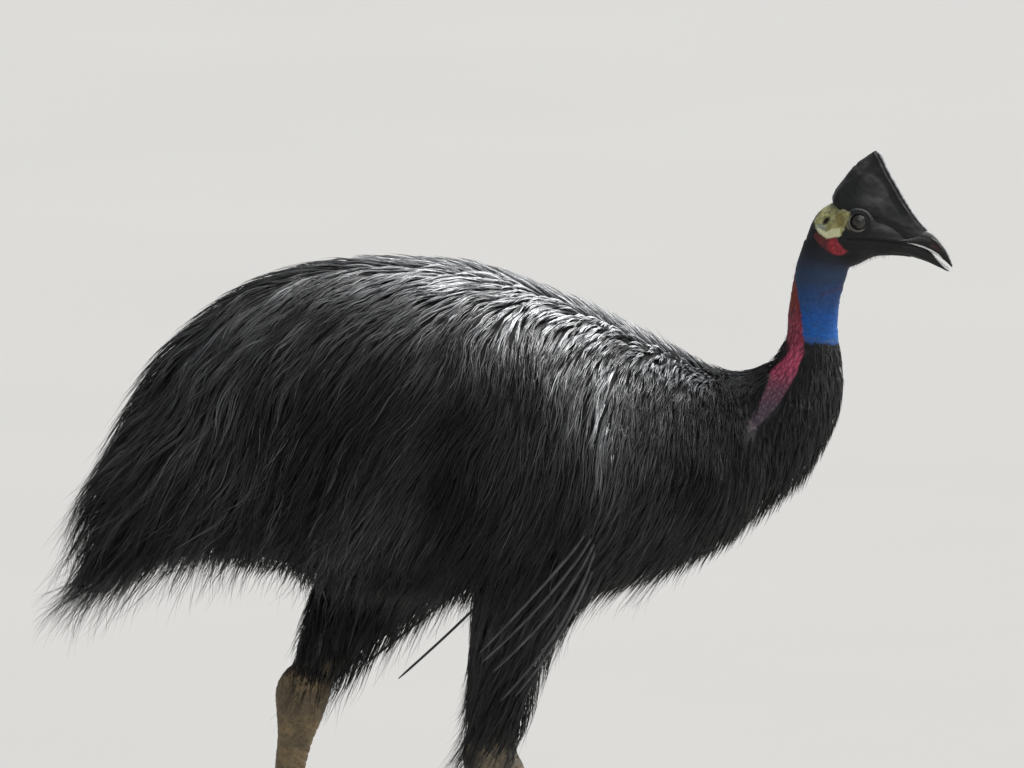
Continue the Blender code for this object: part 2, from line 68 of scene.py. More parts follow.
# the body under it
BODY = [
    (-356, 570, 484, 26), (-340, 614, 458, 60), (-302, 668, 440, 94),
    (-242, 707, 424, 119), (-185, 723, 412, 133), (-130, 727, 404, 143),
    (-30, 721, 398, 146), (60, 690, 400, 141), (140, 651, 418, 124),
    (205, 618, 444, 100), (255, 598, 476, 75), (286, 580, 512, 47),
]  # fmt: skip
NECK = [  # x, z, half-depth, half-width
    (140, 532, 94, 100), (214, 540, 87, 84), (266, 556, 73, 68), (304, 593, 52, 48),
    (318, 634, 35, 32), (320, 668, 25.6, 24.5), (323, 697, 25.2, 24),
    (329, 723, 26.3, 25), (337, 748, 27, 26),
]  # fmt: skip
NECK_BODY = [
    (140, 532, 80, 84), (214, 540, 75, 71), (264, 556, 63, 58), (303, 593, 45.5, 41.5),
    (317, 630, 31.0, 29), (320, 656, 26.0, 25.0),
]  # fmt: skip
COLLAR = 650
HEAD = [
    (313.5, 757, 732, 10), (318.5, 771, 727, 17), (325.5, 782, 723, 22.5),
    (333, 788.5, 722, 25), (342, 793, 722, 26.5), (355, 795, 725, 27), (368, 792, 730, 26), (380, 786, 736, 23), (394, 778, 738, 18.5),
    (408, 770, 737.5, 14), (421, 762, 736, 10),
]  # fmt: skip
CASQUE = [  # x, crest, half-width along the crest and along the foot
    (340, 798, 13, 16), (344, 806, 15.5, 21), (352, 817.5, 14, 24), (361, 829.5, 11, 25),
    (371, 838.5, 7.5, 24), (379, 843.5, 4.6, 22), (386, 846.5, 3.2, 19.8),
    (388.6, 844.8, 2.8, 18.6), (392.6, 837.8, 2.4, 17), (396.4, 829.6, 2.3, 15.8),
    (400.6, 820.8, 2.2, 14.8), (405, 813.8, 2.2, 14), (413, 799.5, 2.2, 13.2),
    (423, 783.7, 2.3, 11.8), (431, 772.8, 2.4, 10.2), (438, 765.6, 2.4, 7.8),
]  # fmt: skip
CASQUE_FOOT = [
    (340, 793), (346, 787.5), (356, 784.5), (369, 784.5), (384, 778), (395, 768),
    (417, 757), (438, 753),
]  # fmt: skip
BILL = [
    (388, 760, 754, 14.5), (400, 758.5, 753.4, 15.2), (412, 758.5, 752.2, 13.6),
    (421, 760, 750.4, 12.2), (429, 763, 747.4, 11.0), (434, 764.4, 745.4, 10.2),
    (438, 764, 743.2, 9.4), (447, 757.6, 738.2, 7.2), (455, 747.2, 732.6, 5),
    (461, 735.8, 727.2, 2.8), (463.3, 729, 725.0, 1.2),
]  # fmt: skip
JAW = [
    (384, 755.5, 739, 16.4), (400, 753.4, 739, 14.6), (416, 751.8, 738, 12.2),
    (430, 747.8, 734.0, 9.8), (440, 742.2, 730.2, 7.8), (446, 736.6, 727.4, 6.4),
    (451, 731.8, 725, 5.2), (458, 726.2, 721.6, 3.2), (461, 724.0, 720.9, 1.4),
]  # fmt: skip
THIGH_OUTER = {
    "right": [
        (62, 505, 70, 40), (50, 450, 80, 56), (34, 410, 72, 56), (22, 380, 60, 50),
        (13, 348, 51, 43), (6, 314, 44.5, 37.5), (0, 280, 40, 33.5), (-6, 254, 34, 30),
        (-9, 243, 27, 25),
    ],
    "left": [
        (-70, 500, 66, 40), (-90, 450, 84, 56), (-118, 400, 80, 56), (-142, 366, 66, 50),
        (-163, 341, 53, 43), (-182, 315, 42, 36), (-192, 298, 33, 30), (-196, 291, 27, 25),
    ],
}  # fmt: skip
THIGH_BODY = {
    "right": [
        (60, 500, 52, 30), (46, 450, 60, 42), (30, 410, 52, 41), (18, 380, 42, 35),
        (9, 348, 34, 29), (2, 314, 29, 25), (-4, 280, 25.5, 22.5), (-9, 250, 23.5, 20.5),
    ],
    "left": [
        (-72, 495, 50, 30), (-94, 450, 62, 42), (-122, 400, 58, 41), (-146, 366, 46, 36),
        (-167, 341, 35, 30), (-184, 315, 28, 25), (-195, 294, 24, 21),
    ],
}  # fmt: skip
WING = [
    (121, 618, 5, 3), (118, 606, 15, 7), (108, 560, 24, 11), (101, 515, 23, 11),
    (98, 478, 15, 8), (97, 464, 8, 5),
]  # fmt: skip
WING_SHIFT = {"right": (0, 0), "left": (-34, -22)}
QUILL_TIPS = {
    "right": [(-23, 343), (-20, 334), (-9, 324), (-1, 294), (14, 299)],
    "left": [(-140, 295), (-108, 277), (-34, 300), (-22, 286), (-4, 280)],
}
QUILL_ROOTS = [(86, 470), (92, 465), (94, 458), (95, 450), (92, 428)]
QUILL_BOW = [1.5, 5, 7.5, 9.5, 5]
# the bare stripe of skin that runs down each side of the neck: x, z, half-width
STRIPE = [
    (302.5, 660, 7.5), (299.5, 644, 11.8), (294, 631, 12.4), (288.4, 618, 11.6),
    (279, 598, 9.6), (267.5, 583, 7.6), (254, 567, 3.2),
]  # fmt: skip
# the pale skin round the ear, and the red skin under it, seen from the side
PALE = [
    (338.8, 801), (344.3, 792), (357, 786), (355.8, 779.4), (352.6, 773.8), (350.2, 767.1),
    (348.1, 761.6), (343.7, 759.9), (333.8, 758.3), (323.4, 766.1), (319, 779.4),
    (323.6, 788), (330, 796),
]  # fmt: skip
RED = [
    (322.3, 764.8), (333.3, 757.9), (343.9, 760.3), (344.8, 754.6), (348.7, 750.2),
    (355.5, 745.4), (353.1, 743), (347.6, 741.3), (339.9, 742.5), (332.2, 746.8),
    (324.5, 753.5), (320.5, 760),
]  # fmt: skip
# the cutting edge of the upper bill, where a white strip is painted as a painted highlight of the light on that edge:
# x, z, half-width
TOMIUM = [
    (413, 752.2, 0.2), (418, 751.2, 1.0), (424.6, 749.6, 1.6), (432.5, 746.8, 2.0),
    (440.7, 742.8, 2.0), (447.4, 739.0, 1.6), (452, 735.2, 0.8),
]  # fmt: skip
# the front edge of the casque's keel, top to bottom, and the line of the culmen; a pale line painted along each is a
# painted highlight of the light on those edges
KEEL = [
    (386, 846, 1), (388.6, 844.8, 1), (392.6, 837.8, 1), (396.4, 829.6, 1), (400.6, 820.8, 1),
    (405, 813.8, 1), (413, 799.5, 1), (423, 783.7, 1), (431, 772.8, 1), (438, 765.6, 1),
]  # fmt: skip
CULMEN = [
    (430, 766.6, 1), (434, 765.9, 1), (438, 764.2, 1), (443, 761.5, 1), (447, 757.8, 1),
    (451, 753, 1), (455, 747.4, 1), (458.5, 741.5, 1), (461, 736, 1), (463, 730, 1),
]  # fmt: skip
GAPE = [(353.5, 757.8, 1), (366, 757.4, 1), (378, 756.8, 1), (392, 754.8, 1), (410, 752, 1)]


# ------------------------------------------------------------------ tools
def place(points):
    return (np.asarray(points, float) - FLOOR_CENTRE) * MM


def design(points):
    return np.asarray(points, float) / MM + FLOOR_CENTRE


def spline(table, count):
    """Points spread evenly along a smooth curve through a table's rows."""
    rows = np.array(table, float)
    steps = np.linalg.norm(np.diff(rows[:, :2], axis=0), axis=1)
    s = np.concatenate([[0], np.cumsum(steps)])
    slope = np.gradient(rows, s, axis=0)
    t = np.linspace(0, s[-1], count)
    i = np.clip(np.searchsorted(s, t, "right") - 1, 0, len(s) - 2)
    h = (s[i + 1] - s[i])[:, None]
    u = (t - s[i])[:, None] / h
    return (
        (2 * u**3 - 3 * u**2 + 1) * rows[i]
        + (u**3 - 2 * u**2 + u) * h * slope[i]
        + (3 * u**2 - 2 * u**3) * rows[i + 1]
        + (u**3 - u**2) * h * slope[i + 1]
    )


def smooth(a, b, x):
    t = np.clip((x - a) / (b - a), 0, 1)
    return t * t * (3 - 2 * t)


def unit(v):
    return v / np.maximum(np.linalg.norm(v, axis=-1, keepdims=True), 1e-9)


def mesh_object(name, points, faces):
    """A mesh from design points; faces is a list of index rows."""
    mesh = bpy.data.meshes.new(name)
    mesh.from_pydata(place(points).tolist(), [], [tuple(f) for f in faces])
    mesh.update()
    obj = bpy.data.objects.new(name, mesh)
    bpy.context.scene.collection.objects.link(obj)
    return obj


def loft(name, rings):
    """A closed solid through rings of equal count (rings, sides, 3)."""
    rings = np.asarray(rings, float)
    count, sides = rings.shape[:2]
    points = np.concatenate([rings.reshape(-1, 3), rings[:1].mean(1), rings[-1:].mean(1)])
    a = np.arange(count - 1)[:, None] * sides + np.arange(sides)
    b = np.arange(count - 1)[:, None] * sides + (np.arange(sides) + 1) % sides
    quads = np.stack([a, b, b + sides, a + sides], -1).reshape(-1, 4)
    k, n = np.arange(sides), (np.arange(sides) + 1) % sides
    last, hub = (count - 1) * sides, count * sides
    caps = [(n[i], k[i], hub) for i in range(sides)]
    caps += [(last + k[i], last + n[i], hub + 1) for i in range(sides)]
    obj = mesh_object(name, points, quads.tolist() + caps)
    bm = bmesh.new()
    bm.from_mesh(obj.data)
    bmesh.ops.recalc_face_normals(bm, faces=bm.faces)
    bm.to_mesh(obj.data)
    bm.free()
    return obj


def upright_rings(table, count, sides, egg=0.0, power=1.0):
    rows = spline(table, count)
    a = 2 * np.pi * np.arange(sides) / sides
    c, s = np.cos(a), np.sin(a)
    y, z = np.sign(c) * np.abs(c) ** power, np.sign(s) * np.abs(s) ** power
    mid, half = (rows[:, 1] + rows[:, 2]) / 2, np.abs(rows[:, 1] - rows[:, 2]) / 2
    ring = np.empty((count, sides, 3))
    ring[..., 0] = rows[:, :1]
    ring[..., 1] = rows[:, 3:4] * (y * (1 - egg * z))[None]
    ring[..., 2] = mid[:, None] + half[:, None] * z[None]
    return ring


def tube_rings(table, count, sides, y=0.0, lean=0.0):
    rows = spline(table, count)
    along = unit(np.gradient(rows[:, :2], axis=0))
    a = 2 * np.pi * np.arange(sides) / sides
    d, w = rows[:, 2:3] * np.cos(a)[None], rows[:, 3:4] * np.sin(a)[None]
    side = y + lean * np.linspace(0, 1, count)
    ring = np.empty((count, sides, 3))
    ring[..., 0] = rows[:, :1] - along[:, 1:2] * d
    ring[..., 1] = side[:, None] + w
    ring[..., 2] = rows[:, 1:2] + along[:, :1] * d
    return ring


def freeze(obj):
    bpy.context.view_layer.update()
    graph = bpy.context.evaluated_depsgraph_get()
    mesh = bpy.data.meshes.new_from_object(obj.evaluated_get(graph))
    obj.modifiers.clear()
    obj.data = mesh
    return obj


def joined(name, pieces):
    bm = bmesh.new()
    for piece in pieces:
        bm.from_mesh(piece.data)
    mesh = bpy.data.meshes.new(name)
    bm.to_mesh(mesh)
    bm.free()
    for piece in pieces:
        bpy.data.objects.remove(piece)
    obj = bpy.data.objects.new(name, mesh)
    bpy.context.scene.collection.objects.link(obj)
    return obj


def remeshed(obj, voxel, passes=6, factor=0.5):
    whole = obj.modifiers.new("whole", "REMESH")
    whole.mode = "VOXEL"
    whole.voxel_size = voxel * MM
    soften = obj.modifiers.new("soften", "SMOOTH")
    soften.factor = factor
    soften.iterations = passes
    return freeze(obj)


def arrays(obj):
    """Design points and unit normals of a mesh's vertices."""
    n = len(obj.data.vertices)
    co, no = np.empty(n * 3, np.float32), np.empty(n * 3, np.float32)
    obj.data.vertices.foreach_get("co", co)
    obj.data.vertex_normals.foreach_get("vector", no)
    return design(co.reshape(-1, 3)), no.reshape(-1, 3).astype(float)


def move_points(obj, points):
    obj.data.vertices.foreach_set("co", place(points).astype(np.float32).ravel())
    obj.data.update()


def union(obj, other):
    join = obj.modifiers.new("join", "BOOLEAN")
    join.operation = "UNION"
    join.solver = "MANIFOLD"
    join.object = other
    before = len(obj.data.polygons)
    kept = obj.data
    freeze(obj)
    if len(obj.data.polygons) < before // 2:
        obj.data = kept
        return joined(obj.name, [obj, other])
    bpy.data.objects.remove(other)
    return obj


def hashed(i, j, k, seed):
    h = (i * 374761393 + j * 668265263 + k * 2147483647 + seed * 974634777) & 0xFFFFFFFF
    h = ((h ^ (h >> 13)) * 1274126177) & 0xFFFFFFFF
    return ((h ^ (h >> 16)) & 0xFFFFFF) / 0xFFFFFF


def grain(points, size, seed=0):
    """Smooth noise from -1 to 1 with features of about this size."""
    p = np.asarray(points, float) / size + 1000
    base = np.floor(p).astype(np.int64)
    f = p - base
    f = f * f * (3 - 2 * f)
    total = 0.0
    for dx in (0, 1):
        for dy in (0, 1):
            for dz in (0, 1):
                w = (
                    (f[:, 0] if dx else 1 - f[:, 0])
                    * (f[:, 1] if dy else 1 - f[:, 1])
                    * (f[:, 2] if dz else 1 - f[:, 2])
                )
                total = total + w * hashed(
                    base[:, 0] + dx, base[:, 1] + dy, base[:, 2] + dz, seed
                )
    return total * 2 - 1


def pebbles(points, size, seed=0):
    """Distance to the edge of cells about this size: 0 at an edge, up to about 0.5."""
    p = np.asarray(points, float) / size + 1000
    base = np.floor(p).astype(np.int64)
    first = np.full(len(p), 9.0)
    second = np.full(len(p), 9.0)
    for dx in (-1, 0, 1):
        for dy in (-1, 0, 1):
            for dz in (-1, 0, 1):
                i, j, k = base[:, 0] + dx, base[:, 1] + dy, base[:, 2] + dz
                c = np.stack(
                    [
                        i + hashed(i, j, k, seed),
                        j + hashed(i, j, k, seed + 7),
                        k + hashed(i, j, k, seed + 13),
                    ],
                    1,
                )
                d = np.linalg.norm(p - c, axis=1)
                nearer = d < first
                second = np.where(nearer, first, np.minimum(second, d))
                first = np.where(nearer, d, first)
    return second - first


def polyline(points, line):
    """Distance in XZ from points to a line of (x, z, width) rows, and the width there."""
    line = np.asarray(line, float)
    best = np.full(len(points), 1e9)
    width = np.zeros(len(points))
    share = np.zeros(len(points))
    q = points[:, [0, 2]]
    for n, (a, b) in enumerate(zip(line[:-1], line[1:])):
        d = b[:2] - a[:2]
        t = np.clip(((q - a[:2]) @ d) / (d @ d), 0, 1)
        r = np.linalg.norm(q - a[:2] - t[:, None] * d, axis=1)
        closer = r < best
        best = np.where(closer, r, best)
        width = np.where(closer, a[2] + (b[2] - a[2]) * t, width)
        share = np.where(closer, (n + t) / (len(line) - 1), share)
    return best, width, share


def within(points, polygon, soft=0.8):
    """1 inside a polygon of (x, z) seen from the side, fading over `soft` at its edge."""
    q = points[:, [0, 2]]
    ring = np.asarray(polygon, float)
    inside = np.zeros(len(q), bool)
    nearest = np.full(len(q), 1e9)
    for a, b in zip(ring, np.roll(ring, -1, axis=0)):
        d = b - a
        t = np.clip(((q - a) @ d) / (d @ d), 0, 1)
        nearest = np.minimum(nearest, np.linalg.norm(q - a - t[:, None] * d, axis=1))
        crosses = (a[1] > q[:, 1]) != (b[1] > q[:, 1])
        at = a[0] + (q[:, 1] - a[1]) / (b[1] - a[1] if b[1] != a[1] else 1e-9) * d[0]
        inside ^= crosses & (q[:, 0] < at)
    return smooth(-soft, soft, np.where(inside, nearest, -nearest))


def tree_of(obj):
    return BVHTree.FromObject(obj, bpy.context.evaluated_depsgraph_get())


# ------------------------------------------------------------------ materials
def material(name):
    m = bpy.data.materials.new(name)
    m.use_nodes = True
    nodes, links = m.node_tree.nodes, m.node_tree.links
    shader = nodes["Principled BSDF"]
    return m, nodes, links, shader


def add(nodes, kind, **values):
    node = nodes.new(kind)
    for key, value in values.items():
        if key in node.inputs:
            node.inputs[key].default_value = value
        else:
            setattr(node, key, value)
    return node


def noise_of(nodes, links, size_mm, detail=4.0, rough=0.6, stretch=None):
    """A noise texture on object coordinates whose features are about size_mm."""
    coords = nodes.new("ShaderNodeTexCoord")
    out = coords.outputs["Object"]
    if stretch:
        mapping = nodes.new("ShaderNodeMapping")
        mapping.inputs["Scale"].default_value = stretch
        links.new(out, mapping.inputs["Vector"])
        out = mapping.outputs["Vector"]
    tex = nodes.new("ShaderNodeTexNoise")
    tex.inputs["Scale"].default_value = 1000.0 / size_mm
    tex.inputs["Detail"].default_value = detail
    tex.inputs["Roughness"].default_value = rough
    links.new(out, tex.inputs["Vector"])
    return tex


def mixed(nodes, links, factor, a, b, blend="MIX"):
    mix = nodes.new("ShaderNodeMix")
    mix.data_type = "RGBA"
    mix.blend_type = blend
    for socket, value in ((mix.inputs[0], factor), (mix.inputs[6], a), (mix.inputs[7], b)):
        if hasattr(value, "is_linked") or isinstance(value, bpy.types.NodeSocket):
            links.new(value, socket)
        else:
            socket.default_value = value
    return mix.outputs[2]


def ranged(nodes, links, value, a, b, c, d):
    node = nodes.new("ShaderNodeMapRange")
    links.new(value, node.inputs["Value"])
    for key, number in zip(("From Min", "From Max", "To Min", "To Max"), (a, b, c, d)):
        node.inputs[key].default_value = number
    return node.outputs["Result"]


def bumped(nodes, links, shader, height, strength, distance_mm, before=None):
    bump = nodes.new("ShaderNodeBump")
    bump.inputs["Strength"].default_value = strength
    bump.inputs["Distance"].default_value = distance_mm * MM
    links.new(height, bump.inputs["Height"])
    if before is not None:
        links.new(before, bump.inputs["Normal"])
    links.new(bump.outputs["Normal"], shader.inputs["Normal"])
    return bump.outputs["Normal"]


def painted(nodes, name):
    node = nodes.new("ShaderNodeAttribute")
    node.attribute_name = name
    return node.outputs["Color"], node.outputs["Fac"]


def skin_material():
    m, nodes, links, shader = material("bare_skin")
    colour, _ = painted(nodes, "paint")
    _, gloss = painted(nodes, "gloss")
    fine = noise_of(nodes, links, 1.3, 5, 0.65)
    mottle = ranged(nodes, links, fine.outputs["Fac"], 0.3, 0.7, 0.72, 1.25)
    scale = nodes.new("ShaderNodeVectorMath")
    scale.operation = "SCALE"
    links.new(colour, scale.inputs[0])
    links.new(mottle, scale.inputs["Scale"])
    links.new(scale.outputs[0], shader.inputs["Base Color"])
    links.new(ranged(nodes, links, gloss, 0, 1, 0.75, 0.38), shader.inputs["Roughness"])
    cells = nodes.new("ShaderNodeTexVoronoi")
    coords = nodes.new("ShaderNodeTexCoord")
    links.new(coords.outputs["Object"], cells.inputs["Vector"])
    cells.inputs["Scale"].default_value = 1000 / 1.5
    first = bumped(nodes, links, shader, cells.outputs["Distance"], 0.35, 0.25)
    bumped(nodes, links, shader, fine.outputs["Fac"], 0.4, 0.35, first)
    shader.inputs["Specular IOR Level"].default_value = 0.3
    return m


def plumage_material():
    m, nodes, links, shader = material("plumage")
    _, tone = painted(nodes, "tone")
    patch = noise_of(nodes, links, 60, 3)
    # tone runs the colour from the feathers' own black to the dusty brown of dry tips (0.55), then to grey (1.0) and
    # pale silver (1.34); the grey is partly the dry tips' own pale colour and partly a painted sheen, and the pale
    # silver is a painted sheen, the light's glint on the glossy back laid into the colour
    dark, brown, grey = (
        (0.0068, 0.0068, 0.0071, 1),
        (0.0195, 0.0188, 0.0181, 1),
        (0.150, 0.150, 0.152, 1),
    )
    pale = (0.80, 0.805, 0.815, 1)
    first = mixed(nodes, links, ranged(nodes, links, tone, 0.0, 0.55, 0, 1), dark, brown)
    second = mixed(nodes, links, ranged(nodes, links, tone, 0.55, 1.0, 0, 1), first, grey)
    second = mixed(nodes, links, ranged(nodes, links, tone, 1.0, 1.34, 0, 1), second, pale)
    shade = ranged(nodes, links, patch.outputs["Fac"], 0.3, 0.7, 0.75, 1.2)
    scale = nodes.new("ShaderNodeVectorMath")
    scale.operation = "SCALE"
    links.new(second, scale.inputs[0])
    links.new(shade, scale.inputs["Scale"])
    links.new(scale.outputs[0], shader.inputs["Base Color"])
    links.new(ranged(nodes, links, tone, 0.1, 0.9, 0.60, 0.38), shader.inputs["Roughness"])
    links.new(ranged(nodes, links, tone, 0.15, 0.9, 0.12, 1.0), shader.inputs["Specular IOR Level"])
    shader.inputs["IOR"].default_value = 1.6
    return m


def horn_material(name, base, worn, roughness=0.35, size=14.0, strength=0.25):
    m, nodes, links, shader = material(name)
    broad = noise_of(nodes, links, size, 5, 0.6)
    fine = noise_of(nodes, links, 1.6, 4, 0.7)
    streak = noise_of(nodes, links, 3.0, 3, 0.6, (1.0, 1.0, 0.22))
    patch = ranged(nodes, links, broad.outputs["Fac"], 0.42, 0.68, 0, 1)
    colour = mixed(nodes, links, patch, (*base, 1), (*worn, 1))
    links.new(colour, shader.inputs["Base Color"])
    links.new(
        ranged(nodes, links, broad.outputs["Fac"], 0.3, 0.7, roughness - 0.06, roughness + 0.12),
        shader.inputs["Roughness"],
    )
    first = bumped(nodes, links, shader, streak.outputs["Fac"], strength, 0.5)
    bumped(nodes, links, shader, fine.outputs["Fac"], strength * 0.8, 0.2, first)
    return m


# ------------------------------------------------------------------ the skin: body
def wing_rings(side, sign, tree, lift, count=14, sides=16, limit=160.0):
    """The little wing's rings, lying on whatever the tree is."""
    shift, drop = WING_SHIFT[side]
    rows = spline(WING, count)
    along = unit(np.gradient(rows[:, :2], axis=0))
    rings = []
    for (x, z, depth, thick), (tx, tz) in zip(rows, along):
        x, z = x + shift, z + drop
        out = flank(tree, x, z, sign) + lift
        a = 2 * np.pi * np.arange(sides) / sides
        d, w = depth * np.cos(a), thick * np.sin(a)
        y = np.minimum(out + w, limit)
        rings.append(np.stack([x - tz * d, sign * y, z + tx * d], 1))
    return rings


def flank(tree, x, z, sign, least=0.0):
    start = Vector(place((x, sign * 400.0, z)))
    hit = tree.ray_cast(start, Vector((0, -sign, 0)))[0]
    return max(least, sign * float(design(hit)[1])) if hit else least


def feathered_mass():
    """The outer surface of the plumage, as a guide for the feathers."""
    neck = spline(NECK, 61)
    top = int(np.argmax(neck[:, 1] > COLLAR))
    neck = neck[: top + 1].copy()
    pieces = [
        loft("g1", upright_rings(PLUMAGE, 40, 36, egg=0.13, power=0.92)),
        loft("g2", tube_rings(neck, 20, 28)),
    ]
    for side, sign in SIDES:
        y = sign * THIGH_TRACK
        pieces.append(
            loft(
                "g3" + side,
                tube_rings(THIGH_OUTER[side], 18, 24, y, sign * HEM_TRACK - y),
            )
        )
    return remeshed(joined("feathered_mass", pieces), 8, 7)


def body_core():
    neck = np.array(NECK_BODY, float)[:4]
    pieces = [
        loft("b1", upright_rings(BODY, 48, 48, egg=0.12, power=0.94)),
        loft("b2", tube_rings(neck, 24, 36)),
    ]
    for side, sign in SIDES:
        y = sign * (THIGH_TRACK - 4)
        pieces.append(
            loft("b3" + side, tube_rings(THIGH_BODY[side], 28, 28, y, sign * HEM_TRACK - y))
        )
    core = joined("body_core", pieces)
    guide = remeshed(
        joined("core_guide", [loft("b4", upright_rings(BODY, 48, 48, egg=0.12, power=0.94))]),
        9, 2,
    )  # fmt: skip
    tree = tree_of(guide)
    wings = [
        loft("b5" + side, wing_rings(side, sign, tree, -1.0)) for side, sign in SIDES
    ]
    bpy.data.objects.remove(guide)
    return remeshed(joined("skin", [core, *wings]), 5.5, 7)


# ------------------------------------------------------------------ the skin: head and neck
def head_and_neck():
    rows = [(250, 551, 67, 63), (283, 572, 55.3, 51.8)] + NECK_BODY[3:] + NECK[5:]
    rows[-1] = (336, 746, 26, 25.5)
    fine = 0.9
    neck = loft("h1", tube_rings(rows, 70, 56))
    skull = loft("h2", upright_rings(HEAD, 50, 56, egg=0.04, power=0.95))
    # throat and cheek: a full soft form between jaw and neck
    throat = loft(
        "h3",
        tube_rings(
            [(343, 742, 19, 20.5), (351, 742.5, 17, 21), (363, 744.5, 12.5, 19.5),
             (377, 746.5, 8.0, 17), (392, 746.5, 6.5, 14.5)],
            24, 32,
        ),
    )  # fmt: skip
    whole = remeshed(joined("head_neck", [neck, skull, throat]), fine, 10)
    p, n = arrays(whole)
    side = np.abs(p[:, 1])

    # the eye: lids stand a little proud of a shallow hollow
    dx, dz = p[:, 0] - LID_X, p[:, 2] - EYE_Z
    r = np.sqrt(dx**2 + dz**2)
    near = (r < 20) & (side > 8)
    from_ball = np.sqrt((p[:, 0] - EYE_X) ** 2 + dz**2)
    ball = EYE_Y + np.sqrt(np.maximum(EYE_RADIUS**2 - from_ball**2, 0))
    rim = 7.8
    lid = EYE_Y + math.sqrt(EYE_RADIUS**2 - rim**2)
    around = np.arctan2(dz, dx)
    upper = smooth(-0.1, 0.9, np.sin(around))
    front = smooth(-0.2, 1.0, np.cos(around))
    level0 = lid - 0.1 - 0.085 * dx
    ring = np.exp(-(((r - 9.4) / 1.25) ** 2))
    second = np.exp(-(((r - 12.2 - 0.5 * upper) / 1.1) ** 2))
    groove = np.exp(-(((r - 11.0) / 0.8) ** 2))
    skirt = smooth(20, 11.5, r)
    level = side * (1 - skirt) + np.maximum(level0, side - 2.4) * skirt
    crest = level0 + 0.60 - 0.22 * upper + 0.40 * (1 - front)
    target = level + ring * np.maximum(crest - level, -3) + 0.12 * second - 0.22 * groove
    # crow's feet: small folds that run out from the lids
    folds = np.sin(around * 22 + 2.5 * grain(p, 5, 4)) * np.exp(-(((r - 11.6) / 2.6) ** 2))
    target += 0.16 * folds
    target = np.where(from_ball < EYE_RADIUS + 0.6, np.maximum(target, ball + 0.55), target)
    inside = smooth(rim + 0.25, rim - 0.65, r)
    target = target * (1 - inside) + (ball - 1.8) * inside
    p[near, 1] = np.sign(p[near, 1]) * target[near]

    # the face comes out to the foot of the casque, so that one runs into the other
    feet, rows = spline(CASQUE_FOOT, 60), spline(CASQUE, 80)
    foot = np.interp(p[:, 0], feet[:, 0], feet[:, 1])
    crest, top, base = (np.interp(p[:, 0], rows[:, 0], rows[:, k]) for k in (1, 2, 3))
    share = np.clip((np.maximum(p[:, 2], foot + 2.6) - foot) / (crest - foot), 0, 1)
    wall = casque_wall(share, p[:, 0], top, base)
    climb = smooth(foot - 19, foot + 1.5, p[:, 2])
    meet = wall + 0.15 - 0.7 * np.maximum(0, p[:, 2] - foot - 2.6)
    side = np.abs(p[:, 1])
    fill = side + np.maximum(meet - side, 0) * climb
    share = smooth(343, 350, p[:, 0]) * smooth(10.8, 12.6, r) * smooth(3, 8, side)
    p[:, 1] = np.sign(p[:, 1]) * (side + (fill - side) * share)
    side = np.abs(p[:, 1])

    # the ear: a slanting slit in a soft hollow, with a fold under it
    ex, ez = p[:, 0] - 332.8, p[:, 2] - 776.0
    turn = math.radians(47)
    u, v = ex * math.cos(turn) + ez * math.sin(turn), -ex * math.sin(turn) + ez * math.cos(turn)
    slit = np.exp(-((u / 4.0) ** 2 + (v / 1.7) ** 2))
    hollow = np.exp(-((u / 8.5) ** 2 + (v / 5.5) ** 2))
    rim_of_ear = np.exp(-((np.sqrt((u / 1.5) ** 2 + v**2) - 4.0) ** 2) / 1.5)
    d, w, _ = polyline(p, [(322, 769, 2), (328, 764, 2.4), (334, 760.8, 2.4), (343, 763, 2)])
    fold = np.exp(-((d / 2.1) ** 2))
    on_side = smooth(7, 14, side)
    push = on_side * (0.7 * rim_of_ear + 1.2 * fold - 1.2 * hollow - 3.6 * slit)
    pale = within(p, PALE, 1.5) * on_side
    push += pale * (0.55 * grain(p, 4.2, 9) + 0.35 * np.minimum(pebbles(p, 3.4, 10), 0.4))
    # gape line and the loose skin round it
    d, w, _ = polyline(p, GAPE)
    push -= on_side * 1.1 * np.exp(-((d / 0.95) ** 2)) * smooth(350, 355, p[:, 0])
    push += on_side * 0.7 * np.exp(-(((d - 2.8) / 1.8) ** 2)) * smooth(350, 358, p[:, 0])
    # cheek and lores: soft swellings
    push += on_side * 0.25 * ellipse(p, 388, 764, 9, 5, -12) + on_side * 0.7 * ellipse(p, 372, 749, 12, 4, -4)
    # brow: a soft ledge that the casque's foot sits on
    d, w, _ = polyline(p, [(352, 786.5, 1), (368, 788.5, 1), (384, 784.5, 1), (398, 775, 1)])
    push += smooth(8, 16, side) * 0.12 * np.exp(-((d / 2.6) ** 2))
    # red skin: lobed and wrinkled
    red = red_patch(p)
    lobes = pebbles(p, 4.6, 3)
    bright = ellipse(p, 342, 750, 9, 9.5, -35)
    push += red * (0.35 + 0.7 * bright + 1.1 * np.minimum(lobes, 0.4))
    # neck: fine crossing wrinkles in front, long beads on the red and violet stripe
    low = smooth(752, 735, p[:, 2]) * smooth(400, 360, p[:, 0])
    stripe = stripe_mask(p)
    beads = stripe_beads(p)
    push += low * stripe * (2.1 * np.minimum(beads, 0.42) - 0.45)
    bands = grain(p * (0.5, 0.5, 1.8), 5.0, 5) * 0.34 + grain(p, 2.6, 6) * 0.20
    push += low * (1 - stripe) * bands
    push += grain(p, 9.0, 8) * 0.30 * smooth(560, 600, p[:, 2])
    skin_grain = 0.16 * pebbles(p, 1.9, 21)
    push += skin_grain * smooth(640, 660, p[:, 2])
    quiet = 1 - smooth(14.5, 11.5, r) * (side > 8)
    p += n * (push * quiet)[:, None]
    move_points(whole, p)
    return whole


def casque_wall(share, x, top, base):
    """Half-width of the casque at a share of its height, before its swellings."""
    s = np.sign(share - 0.5) * np.abs(2 * share - 1) ** (1 / 0.62)
    c = np.sqrt(np.clip(1 - s**2, 0, 1))
    wide = base + (top - base) * share**0.85
    bulge = 1.1 * np.sin(np.pi * share) * np.exp(-(((x - 372) / 16) ** 2))
    return c ** np.where(s < 0, 0.16, 0.55) * (wide + bulge)


